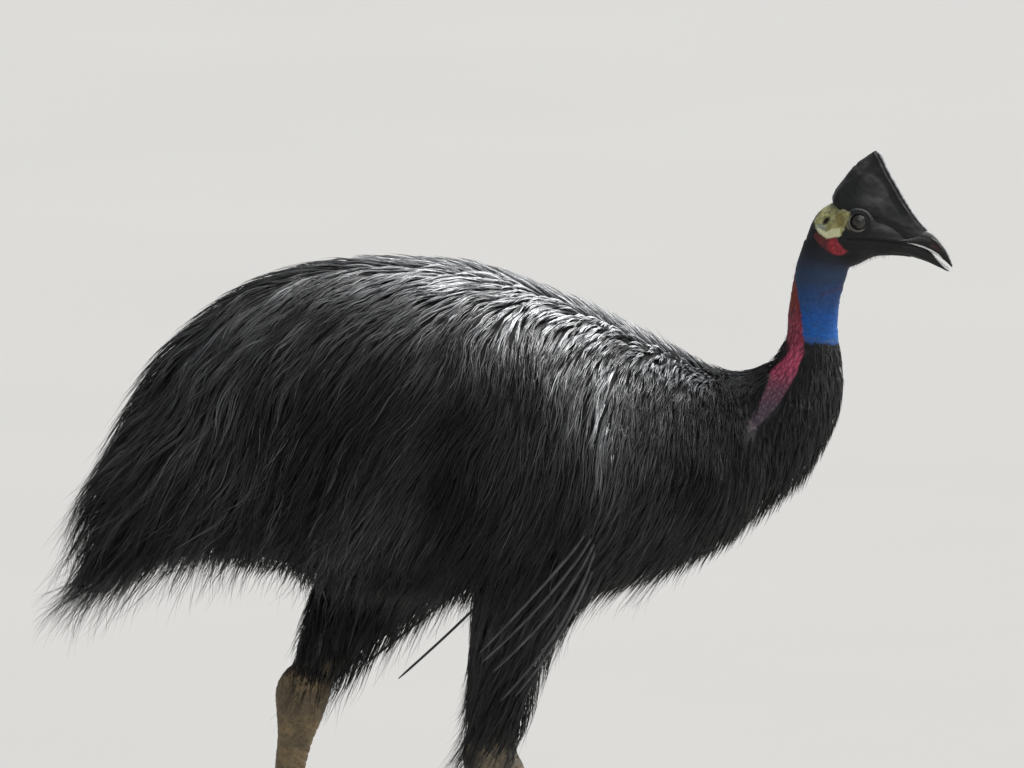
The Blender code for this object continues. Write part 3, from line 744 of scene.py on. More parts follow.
def stripe_beads(p):
    """Long beads on the stripe, drawn out along it."""
    a = math.radians(66)
    q = np.stack(
        [
            p[:, 0] * math.sin(a) - p[:, 2] * math.cos(a),
            p[:, 1],
            (p[:, 0] * math.cos(a) + p[:, 2] * math.sin(a)) * 0.30,
        ],
        1,
    )
    q = q + 0.8 * np.stack([grain(p, 5, 12), grain(p, 5, 13), grain(p, 5, 14)], 1)
    return pebbles(q, 3.7, 11)


def ellipse(p, x, z, rx, rz, turn=0.0):
    """1 at the middle of a slanting ellipse in XZ, falling through 0.5 at its edge."""
    a = math.radians(turn)
    dx, dz = p[:, 0] - x, p[:, 2] - z
    u, v = dx * math.cos(a) + dz * math.sin(a), -dx * math.sin(a) + dz * math.cos(a)
    r = np.sqrt((u / rx) ** 2 + (v / rz) ** 2)
    return smooth(1.22, 0.82, r)


def red_patch(p):
    wob = np.stack([grain(p, 4.0, 57), grain(p, 4.0, 58) * 0, grain(p, 4.0, 59)], 1)
    return within(p + wob * 0.9, RED, 1.0) * smooth(4, 11, np.abs(p[:, 1]))


def refined(obj, inside, push, longest=1.4, rounds=3):
    """Cuts the coarse faces of a place into small ones, then gives them its relief."""
    bm = bmesh.new()
    bm.from_mesh(obj.data)
    mark = bm.verts.layers.float.new("cut")
    for _ in range(rounds):
        bm.verts.ensure_lookup_table()
        p = design(np.array([v.co for v in bm.verts]))
        chosen = inside(p)
        long = [
            e for e in bm.edges
            if chosen[e.verts[0].index] and chosen[e.verts[1].index] and e.calc_length() > longest * MM
        ]  # fmt: skip
        for e in long:
            if e.calc_length() > 2.6 * MM:
                e.verts[0][mark] = e.verts[1][mark] = 1.0
        bmesh.ops.subdivide_edges(bm, edges=long, cuts=1, use_grid_fill=True)
        bm.verts.index_update()
    fresh = np.array([v[mark] for v in bm.verts])
    bm.verts.layers.float.remove(mark)
    bm.to_mesh(obj.data)
    bm.free()
    p, n = arrays(obj)
    move_points(obj, p + n * (push(p) * np.clip(fresh, 0, 1))[:, None])


def stripe_place(p):
    """Round the lower end of the stripe, where the body's own mesh shows."""
    d, w, _ = polyline(p, STRIPE)
    return (d < w + 3) & (np.abs(p[:, 1]) > 14) & (p[:, 0] < 306) & (p[:, 2] < 640)


def stripe_relief(p):
    return stripe_mask(p) * (2.1 * np.minimum(stripe_beads(p), 0.42) - 0.45)


def stripe_mask(p):
    """The red-to-violet stripe: down the back of the neck, then slanting down each side."""
    wave = grain(p, 6.0, 31) * 1.2
    d, w, share = polyline(p, STRIPE)
    slant = smooth(1.0, -1.0, d - w + wave) * smooth(8, 20, np.abs(p[:, 1]))
    z = p[:, 2]
    edge = np.interp(
        z, [630, 643, 655, 666.5, 682.5, 696.5, 710.5, 724, 736],
        [311, 311, 309.6, 308.6, 307.2, 304.2, 302, 300.5, 299],
    )  # fmt: skip
    back = smooth(edge + 1.2, edge - 1.2, p[:, 0] + wave * 0.7) * smooth(738, 716, z)
    back *= smooth(636, 652, z) * smooth(250, 270, p[:, 0])
    return np.maximum(slant, back)


# ------------------------------------------------------------------ legs and feet
def foot_joint(side):
    hx, hz = HOCK[side]
    run = math.sqrt(TARSUS**2 - (hz - TOE_JOINT[side]) ** 2)
    return hx + (run if side == "right" else -run), TOE_JOINT[side]


TOES = (
    # name, turn from the middle, length, radius, tip radius, talon, horn radius, pads
    ("middle", 0, 112, 13.5, 9.0, 33, 6.2, 3),
    ("outer", -31, 82, 12.0, 7.6, 26, 5.2, 3),
    ("inner", 29, 64, 12.5, 8.8, 66, 6.4, 2),
)


def toe_rings(start, heading, length, radius, tip_radius, drop, pads, count, sides):
    s = np.linspace(0, 1, count)
    r = radius + (tip_radius - radius) * s
    r = r * (1 + 0.075 * np.cos(2 * np.pi * s * pads))
    r = r * np.where(s > 0.9, np.sqrt(np.maximum(1 - ((s - 0.9) / 0.1) ** 2 * 0.6, 0)), 1)
    z = 0.84 * r + np.maximum(0, drop - 0.84 * r) * np.maximum(0, 1 - s / 0.5) ** 2
    a = 2 * np.pi * (np.arange(sides) + 0.5) / sides
    along = np.array([math.cos(heading), math.sin(heading)])
    across = np.array([-along[1], along[0]])
    ring = np.empty((count, sides, 3))
    centre = np.asarray(start)[:2] + along * (length * s)[:, None]
    ring[..., :2] = centre[:, None] + across * (r[:, None] * 0.98 * np.cos(a))[..., None]
    ring[..., 2] = np.maximum(0.0, z[:, None] + r[:, None] * 0.96 * np.sin(a))
    return ring


def leg_rows(side):
    hx, hz = HOCK[side]
    jx, jz = foot_joint(side)
    table = THIGH_OUTER[side]
    rows = [(table[-3][0], table[-3][1], 17, 16), (table[-1][0], table[-1][1], 23.5, 20.5)]
    for share, depth, width in (
        (0.00, 28.0, 23.0), (0.10, 24.0, 20.5), (0.20, 18.5, 17.0), (0.34, 15.2, 14.2),
        (0.58, 14.0, 13.4), (0.82, 14.4, 14.2), (0.94, 17.0, 17.0), (1.02, 18.0, 18.5),
    ):  # fmt: skip
        rows.append((hx + (jx - hx) * share, hz + (jz - hz) * share, depth, width))
    return rows


def leg(side, sign):
    """Bare shank and foot as one skin, with scutes in front and pebbled scales behind."""
    y, hem = sign * TRACK, sign * (HEM_TRACK + 2)
    joint = foot_joint(side)
    rows = leg_rows(side)
    pieces = [loft("l0", tube_rings(rows, 70, 40, hem, y - hem))]
    axes = []
    for name, turn, length, radius, tip, talon, horn, pads in TOES:
        heading = math.radians(-sign * (2 + turn))
        start = np.array((joint[0], y, 0.0))
        pieces.append(
            loft("l1" + name, toe_rings(start, heading, length, radius, tip, joint[1], pads, 50, 28))
        )
        axes.append((start, heading, length))
    foot = remeshed(joined("leg_" + side, pieces), 1.4, 5)
    p, n = arrays(foot)
    # share along the shank, and how far round from its front
    line = spline(rows, 200)
    rail = np.stack([line[:, 0], np.linspace(hem, y, 200), line[:, 1]], 1)
    tree_index = np.empty(len(p), int)
    for i in range(0, len(p), 4000):
        block = p[i : i + 4000]
        tree_index[i : i + 4000] = np.linalg.norm(block[:, None] - rail[None], axis=2).argmin(1)
    tangent = unit(np.gradient(rail, axis=0))
    run = np.concatenate([[0], np.cumsum(np.linalg.norm(np.diff(rail, axis=0), axis=1))])
    t, tan = run[tree_index], tangent[tree_index]
    rel = p - rail[tree_index]
    t = t + (rel * tan).sum(1)
    ahead = np.array([1.0, 0, 0]) - tan * tan[:, :1]
    ahead = unit(ahead)
    front = (unit(rel) * ahead).sum(1)
    push = np.zeros(len(p))
    on_shank = smooth(joint[1] + 6, joint[1] + 16, p[:, 2])
    # broad scutes down the front of the shank, smaller toward the hock
    pitch = 8.6
    phase = (t + 1.6 * np.abs(rel[:, 1]) * 0.25) / pitch
    cut = np.abs(phase - np.round(phase)) * pitch
    plate = smooth(0.15, 1.9, cut)
    wide = smooth(0.05, 0.5, front)
    below_hock = smooth(66, 92, t)
    push += on_shank * wide * (0.95 * plate - 0.55) * (0.35 + 0.65 * below_hock)
    net = pebbles(p, 5.2, 41)
    push += on_shank * (1 - wide) * (1.5 * np.minimum(net, 0.32) - 0.25)
    # toes: scutes on top, pads below
    scute = np.zeros(len(p))
    best = np.full(len(p), 1e9)
    for start, heading, length in axes:
        d = np.array([math.cos(heading), math.sin(heading), 0])
        rel = p - start
        s = (rel * d).sum(1)
        off = np.linalg.norm(rel[:, :2] - s[:, None] * d[:2], axis=1)
        cut = np.abs(s / 5.4 - np.round(s / 5.4)) * 5.4
        mine = smooth(0.1, 1.2, cut)
        closer = (off < best) & (s > -2)
        best = np.where(closer, off, best)
        scute = np.where(closer, mine, scute)
    on_top = smooth(0.15, 0.75, n[:, 2]) * (1 - on_shank)
    push += on_top * (0.8 * scute - 0.4)
    under = smooth(0.3, -0.4, n[:, 2]) * (1 - on_shank)
    push += (1 - on_top) * (1 - on_shank) * (0.9 * np.minimum(pebbles(p, 3.0, 43), 0.4) - 0.2)
    push += grain(p, 14, 44) * 0.35
    moved = p + n * push[:, None]
    moved[:, 2] = np.maximum(moved[:, 2], 0.0)
    flat = p[:, 2] < 0.6
    moved[flat, 2] = 0.0
    move_points(foot, moved)
    return foot


# ------------------------------------------------------------------ paint
def paint_skin(skin):
    """Colours of the bare skin, by place."""
    p, n = arrays(skin)
    side = np.abs(p[:, 1])
    z, x = p[:, 2], p[:, 0]
    lot = len(p)
    paint = np.tile(np.array([0.006, 0.006, 0.0065]), (lot, 1))
    gloss = np.full(lot, 0.25)

    def lay(colour, mask, amount=1.0):
        m = np.clip(mask * amount, 0, 1)[:, None]
        paint[:] = paint * (1 - m) + np.asarray(colour) * m

    wob = grain(p, 6.0, 51) * 2.2
    collar = 654.5 - 0.12 * (x - 309)
    bare = smooth(collar - 5, collar + 1.5, z + wob * 0.6) * smooth(262, 280, x)
    # blue neck: dark under the head, brightest just above the feathers
    lay((0.0165, 0.022, 0.040), bare)
    lay((0.020, 0.040, 0.085), bare * smooth(738, 716, z + wob))
    lay((0.016, 0.055, 0.165), bare * smooth(716, 698, z + wob))
    lay((0.004, 0.070, 0.290), bare * smooth(694, 674, z + wob))
    lay((0.004, 0.100, 0.370), bare * smooth(678, 660, z + wob), 0.6)
    stain = np.exp(-(((z - 700 - 0.25 * (x - 325)) / 2.6) ** 2)) * smooth(322, 330, x)
    lay((0.050, 0.030, 0.075), bare * stain, 0.55)
    lay((0.012, 0.022, 0.060), bare * (grain(p * (1, 1, 2.0), 4.0, 52) > 0.35) * smooth(735, 700, z), 0.35)
    lay((0.03, 0.10, 0.25), bare * smooth(0.0, 0.5, grain(p * (1.6, 1.6, 0.5), 2.2, 64)) * smooth(712, 690, z), 0.30)
    lay((0.010, 0.030, 0.14), bare * smooth(0.1, 0.5, grain(p * (0.6, 0.6, 1.6), 3.0, 65)) * smooth(722, 700, z), 0.30)
    lay((0.06, 0.08, 0.12), bare * smooth(collar + 4, collar + 1, z + wob), 0.35)
    stripe = stripe_mask(p)
    beads = stripe_beads(p)
    tint = np.tile(np.array([0.18, 0.028, 0.018]), (lot, 1))
    for colour, share in (
        ((0.26, 0.032, 0.056), smooth(690, 668, z)),
        ((0.47, 0.062, 0.122), smooth(656, 638, z)),
        ((0.110, 0.038, 0.060), smooth(628, 600, z)),
        ((0.060, 0.042, 0.054), smooth(602, 580, z)),
        # painted shade in the creases between the beads, and painted highlights on the bead crests
        ((0.035, 0.010, 0.026), smooth(0.22, 0.03, beads) * smooth(700, 680, z) * 0.70),
        ((0.42, 0.13, 0.18), smooth(0.22, 0.42, beads) * smooth(700, 660, z) * smooth(590, 625, z) * 0.34),
        ((0.18, 0.14, 0.160), smooth(0.24, 0.44, beads) * smooth(625, 600, z) * 0.32),
    ):
        tint += (np.asarray(colour) - tint) * share[:, None]
    lay(tint, stripe)
    # dark head
    face = smooth(722, 740, z + 0.25 * (x - 350)) * smooth(300, 306, x)
    lay((0.0060, 0.0062, 0.0066), face)
    lay((0.010, 0.014, 0.023), face * smooth(756, 742, z) * smooth(352, 340, x), 0.7)
    lay((0.0125, 0.012, 0.012), face * smooth(0.0, 0.6, grain(p, 6.0, 56)), 0.5)
    # pale skin round the ear
    hedge = np.stack([grain(p, 3.2, 53), p[:, 1] * 0, grain(p, 3.2, 63)], 1) * 1.1
    pale = within(p + hedge, PALE, 1.0)
    pale *= smooth(2, 7, side + 0.5 * np.maximum(0, z - 778))
    lay((0.320, 0.308, 0.124), pale)
    lay((0.180, 0.170, 0.072), pale * smooth(-0.1, 0.4, grain(p, 4.0, 54)), 0.8)
    lay((0.36, 0.36, 0.235), pale * smooth(0.15, 0.55, grain(p, 3.2, 55)), 0.7)
    lay((0.185, 0.140, 0.040), pale * ellipse(p + hedge, 347, 777.5, 4.8, 7.0, 15), 0.75)
    lay((0.095, 0.080, 0.045), pale * smooth(0.10, 0.02, pebbles(p, 3.4, 10)), 0.35)
    lay((0.150, 0.155, 0.120), pale * smooth(783, 794, z), 0.7)
    lay((0.22, 0.25, 0.25), pale * ellipse(p + hedge, 327, 768.5, 5, 5, 0), 0.6)
    white = within(
        p + hedge * 0.7,
        [(321.5, 768.6), (327, 768), (333, 765.5), (339, 768.5), (346.5, 769), (347.6, 762),
         (343.6, 760.4), (333.5, 758.6), (326, 763.4)],
        1.0,
    )  # fmt: skip
    lay((0.60, 0.58, 0.35), white * smooth(5, 11, side), 0.85)
    u = (x - 332.8) * 0.682 + (z - 776.0) * 0.731
    v = -(x - 332.8) * 0.731 + (z - 776.0) * 0.682
    ear = np.exp(-((u / 4.3) ** 2 + (v / 1.9) ** 2)) * smooth(7, 14, side)
    # painted shade: the ear's opening is painted dark, near black in its slit
    lay((0.05, 0.045, 0.030), smooth(0.06, 0.30, ear), 0.8)
    lay((0.005, 0.004, 0.004), smooth(0.34, 0.62, ear))
    red = red_patch(p)
    lobes = pebbles(p, 4.6, 3)
    lay((0.085, 0.016, 0.018), red)
    bright = ellipse(p + hedge, 343.5, 750.5, 10.5, 8.0, -42)
    lay((0.200, 0.014, 0.022), red * bright)
    lay((0.34, 0.030, 0.040), red * bright * smooth(0.08, 0.34, lobes), 0.75)
    lay((0.14, 0.022, 0.024), red * (1 - bright) * smooth(0.15, 0.40, lobes), 0.6)
    # ring round the eye: paler behind and below
    dx, dz = x - LID_X, z - EYE_Z
    r = np.sqrt(dx**2 + dz**2)
    ring = np.exp(-(((r - 9.5) / 0.85) ** 2)) * (side > 12)
    below = smooth(0.30, -0.35, (dx * 0.72 + dz * 0.69) / np.maximum(r, 1))
    lay((0.150, 0.142, 0.115), ring * (0.04 + 0.96 * below**1.4))
    lay((0.20, 0.17, 0.09), np.exp(-(((r - 12.0) / 0.9) ** 2)) * smooth(-0.6, -0.95, dx / np.maximum(r, 1)) * (side > 12), 0.8)
    lay((0.003, 0.0028, 0.0026), smooth(8.5, 7.9, r) * (side > 12))
    # painted shade: a near-black line along the gape's groove
    d, w, _ = polyline(p, GAPE)
    lay((0.003, 0.003, 0.003), smooth(1.5, 0.4, d) * smooth(8, 12, side) * smooth(350, 355, x))
    gloss += 0.25 * red + 0.2 * stripe - 0.10 * face
    # legs
    for side_name, sign in SIDES:
        jx, jz = foot_joint(side_name)
        hx, hz = HOCK[side_name]
        limit = 262 if side_name == "right" else 312
        mine = (p[:, 1] * sign > 0) * smooth(limit, limit - 10, z) * 1.0
        tan, grey = (0.200, 0.155, 0.098), (0.106, 0.087, 0.064)
        # the far (left) leg is painted paler than the near one: painted light, the same skin shown more brightly lit
        if side_name == "left":
            tan, grey = (0.265, 0.190, 0.098), (0.150, 0.112, 0.066)
        lay(grey, mine)
        blotch = grain(p, 16, 61) * 0.6 + grain(p, 5, 62) * 0.4
        lay(tan, mine * smooth(-0.25, 0.45, blotch), 0.85)
        # painted shade: darker from just above the hock up under the thigh feathers
        lay((0.055, 0.048, 0.040), mine * smooth(hz + 6, hz + 34, z), 0.45)
        lay((0.022, 0.020, 0.018), mine * smooth(0.12, 0.02, pebbles(p, 5.2, 41)), 0.4)
        lay((0.05, 0.043, 0.036), mine * smooth(50, 18, z), 0.5)
        gloss += 0.12 * mine
    for name, data in (("paint", paint), ("gloss", gloss)):
        kind = "FLOAT_COLOR" if name == "paint" else "FLOAT"
        attribute = skin.data.attributes.new(name, kind, "POINT")
        if name == "paint":
            rgba = np.ones((lot, 4), np.float32)
            rgba[:, :3] = np.clip(data, 0, 1)
            attribute.data.foreach_set("color", rgba.ravel())
        else:
            attribute.data.foreach_set("value", np.clip(data, 0, 1).astype(np.float32))


# ------------------------------------------------------------------ plumage
# how the feathers lie, seen from the side: x, z, and degrees from straight ahead,
# so that 180 points to the tail and 270 straight down
FLOW = [
    (262, 616, 205), (290, 655, 240), (205, 635, 180), (140, 668, 182), (60, 706, 180),
    (-30, 735, 178), (-130, 741, 186), (-232, 726, 196), (-316, 682, 212),
    (-380, 612, 228), (-430, 520, 236), (205, 620, 212), (140, 648, 205), (60, 690, 188),
    (-10, 712, 183), (-70, 718, 188), (-157, 716, 204), (-218, 700, 222), (-280, 668, 236),
    (-332, 616, 252), (-362, 653, 222), (100, 650, 218), (142, 634, 230), (183, 620, 234),
    (205, 606, 244), (225, 600, 262), (140, 618, 250), (100, 632, 244), (60, 662, 236),
    (20, 660, 254), (-30, 680, 226), (-33, 652, 262), (-90, 690, 212), (-84, 648, 233),
    (-136, 648, 232), (-130, 690, 210), (-187, 648, 234), (-260, 648, 242), (-232, 676, 218),
    (102, 596, 255), (142, 596, 256), (60, 600, 260), (19, 637, 262), (19, 575, 255),
    (-23, 575, 230), (-84, 596, 231), (-136, 596, 228), (-187, 596, 243), (-239, 596, 266),
    (-290, 596, 265), (60, 544, 258), (101, 544, 264), (142, 544, 248), (-30, 530, 252),
    (-105, 544, 233), (-157, 544, 246), (-208, 544, 253), (-260, 544, 254), (-311, 544, 240),
    (-363, 564, 240), (-404, 570, 230), (-136, 492, 239), (-187, 492, 241), (-239, 492, 250),
    (-290, 492, 242), (-342, 492, 234), (-393, 512, 230), (-311, 440, 252), (-363, 440, 238),
    (-414, 450, 237), (-435, 419, 236), (-232, 440, 244), (60, 500, 250), (0, 471, 236), (-30, 450, 240),
    (-130, 450, 246), (140, 480, 240), (205, 590, 254), (188, 585, 258), (122, 565, 257),
    (152, 522, 242), (193, 556, 270), (75, 470, 247), (224, 554, 255), (193, 502, 232),
    (142, 460, 232), (111, 429, 228), (262, 590, 255), (245, 590, 260), (307, 585, 262),
    (338, 626, 268), (307, 523, 262), (266, 500, 248), (245, 564, 262), (307, 631, 262),
    (286, 642, 250), (343, 647, 268), (29, 440, 246), (19, 378, 238), (8, 305, 238),
    (60, 378, 242), (-12, 357, 244), (-33, 398, 246), (0, 262, 244), (122, 408, 228), (-167, 398, 256),
    (-208, 357, 258), (-105, 388, 242), (-208, 315, 262),
]  # fmt: skip
FLOW_ROWS = np.array(FLOW, float)
FLOW_WAY = np.stack(
    [np.cos(np.radians(FLOW_ROWS[:, 2])), np.sin(np.radians(FLOW_ROWS[:, 2]))], 1
)


def flow(points):
    d2 = ((points[:, None, [0, 2]] - FLOW_ROWS[None, :, :2]) ** 2).sum(2) + 60.0
    w = d2**-1.7
    way = (w[..., None] * FLOW_WAY[None]).sum(1) / w.sum(1)[:, None]
    out = np.zeros((len(points), 3))
    out[:, 0], out[:, 2] = way[:, 0], way[:, 1]
    return unit(out)


# feather length, lock waviness (mm) and wavelength, and lock half-width, by place
#   x, z, length, wave, wavelength, spread
COAT = [
    (335, 645, 14, 0.2, 30, 2.2), (290, 655, 16, 0.3, 30, 2.2), (335, 610, 24, 0.4, 30, 3.0),
    (305, 600, 23, 0.4, 30, 3.0), (262, 622, 24, 0.6, 24, 2.6), (230, 625, 32, 0.7, 24, 2.8),
    (180, 645, 40, 0.8, 26, 3.0), (300, 520, 38, 0.5, 32, 4.0), (240, 480, 50, 0.6, 36, 4.4),
    (180, 560, 52, 0.7, 34, 4.4), (100, 690, 46, 0.8, 30, 3.0), (0, 735, 52, 0.8, 34, 3.2),
    (-100, 740, 60, 0.9, 38, 3.4), (60, 640, 56, 0.7, 34, 3.8), (-60, 680, 66, 0.8, 40, 3.8),
    (-200, 730, 76, 1.2, 46, 3.6), (60, 540, 80, 0.6, 50, 4.6), (-60, 560, 90, 0.8, 56, 4.6),
    (-200, 600, 105, 1.6, 62, 3.8), (-60, 440, 84, 0.8, 50, 4.4),
    (-200, 460, 104, 2.2, 50, 3.8), (-280, 660, 110, 1.8, 62, 3.6),
    (-330, 600, 160, 2.8, 66, 3.6), (-345, 530, 180, 3.0, 66, 3.6),
    (-290, 470, 140, 2.8, 56, 3.6), (140, 440, 60, 0.7, 36, 4.2), (60, 410, 64, 0.7, 36, 4.0),
    (40, 360, 60, 0.6, 40, 3.4), (0, 300, 52, 0.6, 36, 2.8), (-8, 256, 40, 0.6, 30, 2.4),
    (-140, 380, 66, 0.7, 40, 3.8), (-180, 330, 52, 0.7, 36, 3.0), (-196, 300, 38, 0.6, 30, 2.4),
]  # fmt: skip
COAT_ROWS = np.array(COAT, float)


def coat_at(points):
    d2 = ((points[:, None, [0, 2]] - COAT_ROWS[None, :, :2]) ** 2).sum(2) + 150.0
    w = d2**-1.6
    return (w[..., None] * COAT_ROWS[None, :, 2:]).sum(1) / w.sum(1)[:, None]


def bare_place(p):
    """Where no feather grows: head, bare neck and its stripe, shanks and feet."""
    collar = 655.0 - 0.12 * (p[:, 0] - 309)
    bare = (p[:, 2] > collar) & (p[:, 0] > 262)
    d, w, _ = polyline(p, STRIPE)
    bare |= (d < w + 0.5) & (np.abs(p[:, 1]) > 14) & (p[:, 0] > 240)
    bare |= (p[:, 2] < 252 - 0.55 * np.clip(p[:, 0] + 12, -40, 28)) & (p[:, 1] < 0)
    bare |= (p[:, 2] < 298) & (p[:, 1] > 0) & (p[:, 2] < 298 + 0 * p[:, 0])
    return bare


def closeness(p):
    """How close the locks stand: closest where they are short or turn from neck to back."""
    turn = np.exp(-(((p[:, 0] - 214) / 20) ** 2) - ((p[:, 2] - 612) / 20) ** 2)
    return np.interp(coat_at(p)[:, 0], [16, 30, 60, 140, 172], [2.6, 1.7, 1.0, 1.4, 2.1]) * (1 + 1.3 * turn)


def roots(skin, wanted):
    """Evenly spread feather roots on the skin, closer where the feathers are short."""
    mesh = skin.data
    mesh.calc_loop_triangles()
    count = len(mesh.loop_triangles)
    index = np.empty(count * 3, np.int32)
    mesh.loop_triangles.foreach_get("vertices", index)
    p, n = arrays(skin)
    tri = p[index.reshape(-1, 3)]
    centre = tri.mean(1)
    area = np.linalg.norm(np.cross(tri[:, 1] - tri[:, 0], tri[:, 2] - tri[:, 0]), axis=1) / 2
    weight = area * closeness(centre)
    weight[bare_place(centre)] = 0
    weight /= weight.sum()
    pick = RNG.choice(count, size=int(wanted * 2.6), p=weight)
    u, v = RNG.random(len(pick)), RNG.random(len(pick))
    fold = u + v > 1
    u[fold], v[fold] = 1 - u[fold], 1 - v[fold]
    t = tri[pick]
    spots = t[:, 0] + u[:, None] * (t[:, 1] - t[:, 0]) + v[:, None] * (t[:, 2] - t[:, 0])
    # drop spots that crowd an earlier one
    total = area[~bare_place(centre)].sum()
    gap0 = 0.72 * math.sqrt(total / wanted)
    gap = gap0 / np.sqrt(closeness(spots))
    size = gap0
    grid, kept = {}, []
    cells = np.floor(spots / size).astype(int)
    for i, (cell, q, g) in enumerate(zip(map(tuple, cells), spots.tolist(), gap.tolist())):
        crowded = False
        for a in (-1, 0, 1):
            for b in (-1, 0, 1):
                for c in (-1, 0, 1):
                    for other in grid.get((cell[0] + a, cell[1] + b, cell[2] + c), ()):
                        if (
                            (other[0] - q[0]) ** 2
                            + (other[1] - q[1]) ** 2
                            + (other[2] - q[2]) ** 2
                            < g * g
                        ):
                            crowded = True
                            break
                    if crowded:
                        break
                if crowded:
                    break
            if crowded:
                break
        if not crowded:
            grid.setdefault(cell, []).append(q)
            kept.append(i)
    return spots[kept[: int(wanted * 1.15)]]


def unwrap(p):
    """A place on a map of the skin: the trunk cut open along the belly, each thigh beside it."""
    u = 0.02 + 0.62 * np.clip((p[:, 0] + 350) / 700, 0, 1)
    mid = np.interp(p[:, 0], [-340, -200, 0, 150, 250, 330], [535, 565, 560, 530, 545, 640])
    v = 0.02 + 0.94 * (np.arctan2(p[:, 1], p[:, 2] - mid) / (2 * np.pi) + 0.5)
    for side, sign in SIDES:
        rows = np.array(THIGH_BODY[side], float)
        low = (p[:, 2] < 404) & (p[:, 1] * sign > 0)
        cx = np.interp(p[:, 2], rows[::-1, 1], rows[::-1, 0])
        cy = sign * np.interp(p[:, 2], [250, 500], [HEM_TRACK, THIGH_TRACK])
        round_ = np.arctan2(p[:, 1] - cy, p[:, 0] - cx) / (2 * np.pi) + 0.5
        shift = 0.02 if sign < 0 else 0.52
        u = np.where(low, 0.68 + 0.28 * np.clip((p[:, 2] - 230) / 180, 0, 1), u)
        v = np.where(low, shift + 0.44 * round_, v)
    return np.stack([u, v], 1)


def guides(spots, core_tree, mass_tree, steps):
    """Marches each lock from its root: along the flow, out through the coat, tips free."""
    lot = len(spots)
    coat = coat_at(spots)
    length = coat[:, 0] * RNG.uniform(0.78, 1.18, lot)
    reach = 0.42 + 0.58 * RNG.beta(2.2, 1.3, lot)
    calm = 0.20 + 0.45 * smooth(235, 290, spots[:, 0])
    reach += (0.88 - reach) * calm
    path = np.empty((lot, steps + 1, 3))
    up = np.empty((lot, steps + 1, 3))
    past = np.empty((lot, steps + 1))
    q = spots.copy()
    path[:, 0] = q
    stray = RNG.normal(0, 1, (lot, 3)) * 0.06
    rump = smooth(-90, -220, spots[:, 0]) * smooth(725, 660, spots[:, 2])
    proud = 3.0 * smooth(90, 125, spots[:, 0]) * smooth(222, 195, spots[:, 0])
    hook = np.radians(16 + 34 * grain(spots, 38, 73) + RNG.normal(0, 12, lot)) * rump
    last = None
    for k in range(steps + 1):
        near_core = np.empty((lot, 3))
        near_mass = np.empty((lot, 3))
        n_core = np.empty((lot, 3))
        n_mass = np.empty((lot, 3))
        world = place(q)
        for i in range(lot):
            spot = Vector(world[i])
            hit, normal, _, _ = core_tree.find_nearest(spot)
            near_core[i] = hit
            n_core[i] = normal
            hit, normal, _, _ = mass_tree.find_nearest(spot)
            near_mass[i] = hit
            n_mass[i] = normal
        near_core, near_mass = design(near_core), design(near_mass)
        above = ((q - near_core) * n_core).sum(1)
        below = ((near_mass - q) * n_mass).sum(1)
        s = k / steps
        t = np.clip(above / np.maximum(above + np.maximum(below, 0), 1), 0, 1)
        normal = unit(n_core * (1 - t)[:, None] + n_mass * t[:, None])
        if k:
            deep = np.maximum(above, 0) + np.maximum(below, 0)
            want = reach * (1 - (1 - s) ** 1.8) * deep + proud * s * smooth(0.4, 0.8, normal[:, 2])
            fix = np.clip(want - above, -7, 7)
            hold = smooth(-0.75, -0.15, normal[:, 2])
            # near the floor side locks hang free, but never sink into the body
            loose = np.maximum(fix, 0) * (above < 3.0)
            q = q + normal * (fix * hold + loose * (1 - hold))[:, None]
        path[:, k] = q
        up[:, k] = normal
        past[:, k] = -below
        if k == steps:
            break
        raw = flow(q)
        swing = -hook * s**1.6
        raw = np.stack(
            [
                raw[:, 0] * np.cos(swing) - raw[:, 2] * np.sin(swing),
                raw[:, 1],
                raw[:, 0] * np.sin(swing) + raw[:, 2] * np.cos(swing),
            ],
            1,
        )
        raw = raw + stray * (0.4 + s)
        lean = (raw * normal).sum(1)
        ny = normal[:, 1]
        aside = -lean / (np.where(ny < 0, -1, 1) * np.maximum(np.abs(ny), 0.28))
        aside = np.clip(aside, -1.1, 1.1) * smooth(0.02, 0.30, normal[:, 2])
        aside *= smooth(8, 46 - 24 * smooth(120, 205, q[:, 0]), np.abs(q[:, 1]))
        raw = raw + np.array([0.0, 1.0, 0.0]) * aside[:, None]
        lean = (raw * normal).sum(1)
        along = raw - normal * lean[:, None]
        hang = smooth(-0.1, -0.75, normal[:, 2])[:, None]
        free = smooth(0.25, 0.9, lean)[:, None] * 0.8
        way = unit(along * (1 - np.maximum(hang * 0.85, free)) + raw * np.maximum(hang * 0.85, free))
        way = unit(way + np.array([0, 0, -0.16]) * s)
        if last is not None:
            way = unit(way * 0.72 + last * 0.28)
        last = way
        q = q + way * (length / steps)[:, None]
    # a lock ends soon after it leaves the bird's outer shape
    allowed = 2 + 9 * RNG.random(lot) ** 1.6
    x, z = spots[:, 0], spots[:, 2]
    thigh = smooth(-190, -165, x) * smooth(-10, -50, x) * smooth(450, 420, z) * (spots[:, 1] > 0)
    under = smooth(-430, -400, x) * smooth(-190, -230, x) * smooth(520, 470, z)
    allowed -= (25 * thigh + 24 * under) * RNG.random(lot)
    hem = smooth(286, 262, z) * (spots[:, 1] < 0) + smooth(345, 320, z) * (spots[:, 1] > 0)
    allowed += 34 * hem * RNG.random(lot)
    rear = smooth(400, 330, z) * (spots[:, 1] < 0) * smooth(2, -18, x - (z - 280) * 0.19)
    rear *= smooth(0.85, 0.5, np.abs(up[:, 0, 1]))
    allowed += 10 * rear * RNG.random(lot)
    over = past > allowed[:, None]
    over[:, :3] = False
    first = np.where(over.any(1), over.argmax(1), steps)
    before = past[np.arange(lot), np.maximum(first - 1, 0)]
    after = past[np.arange(lot), first]
    part = np.clip((allowed - before) / np.maximum(after - before, 0.01), 0, 1)
    stop = np.where(over.any(1), (first - 1 + part) / steps, 1.0)
    share = np.linspace(0, 1, steps + 1)[None] * stop[:, None]
    path, up = sampled(path, share), sampled(up, share)
    length = length * stop
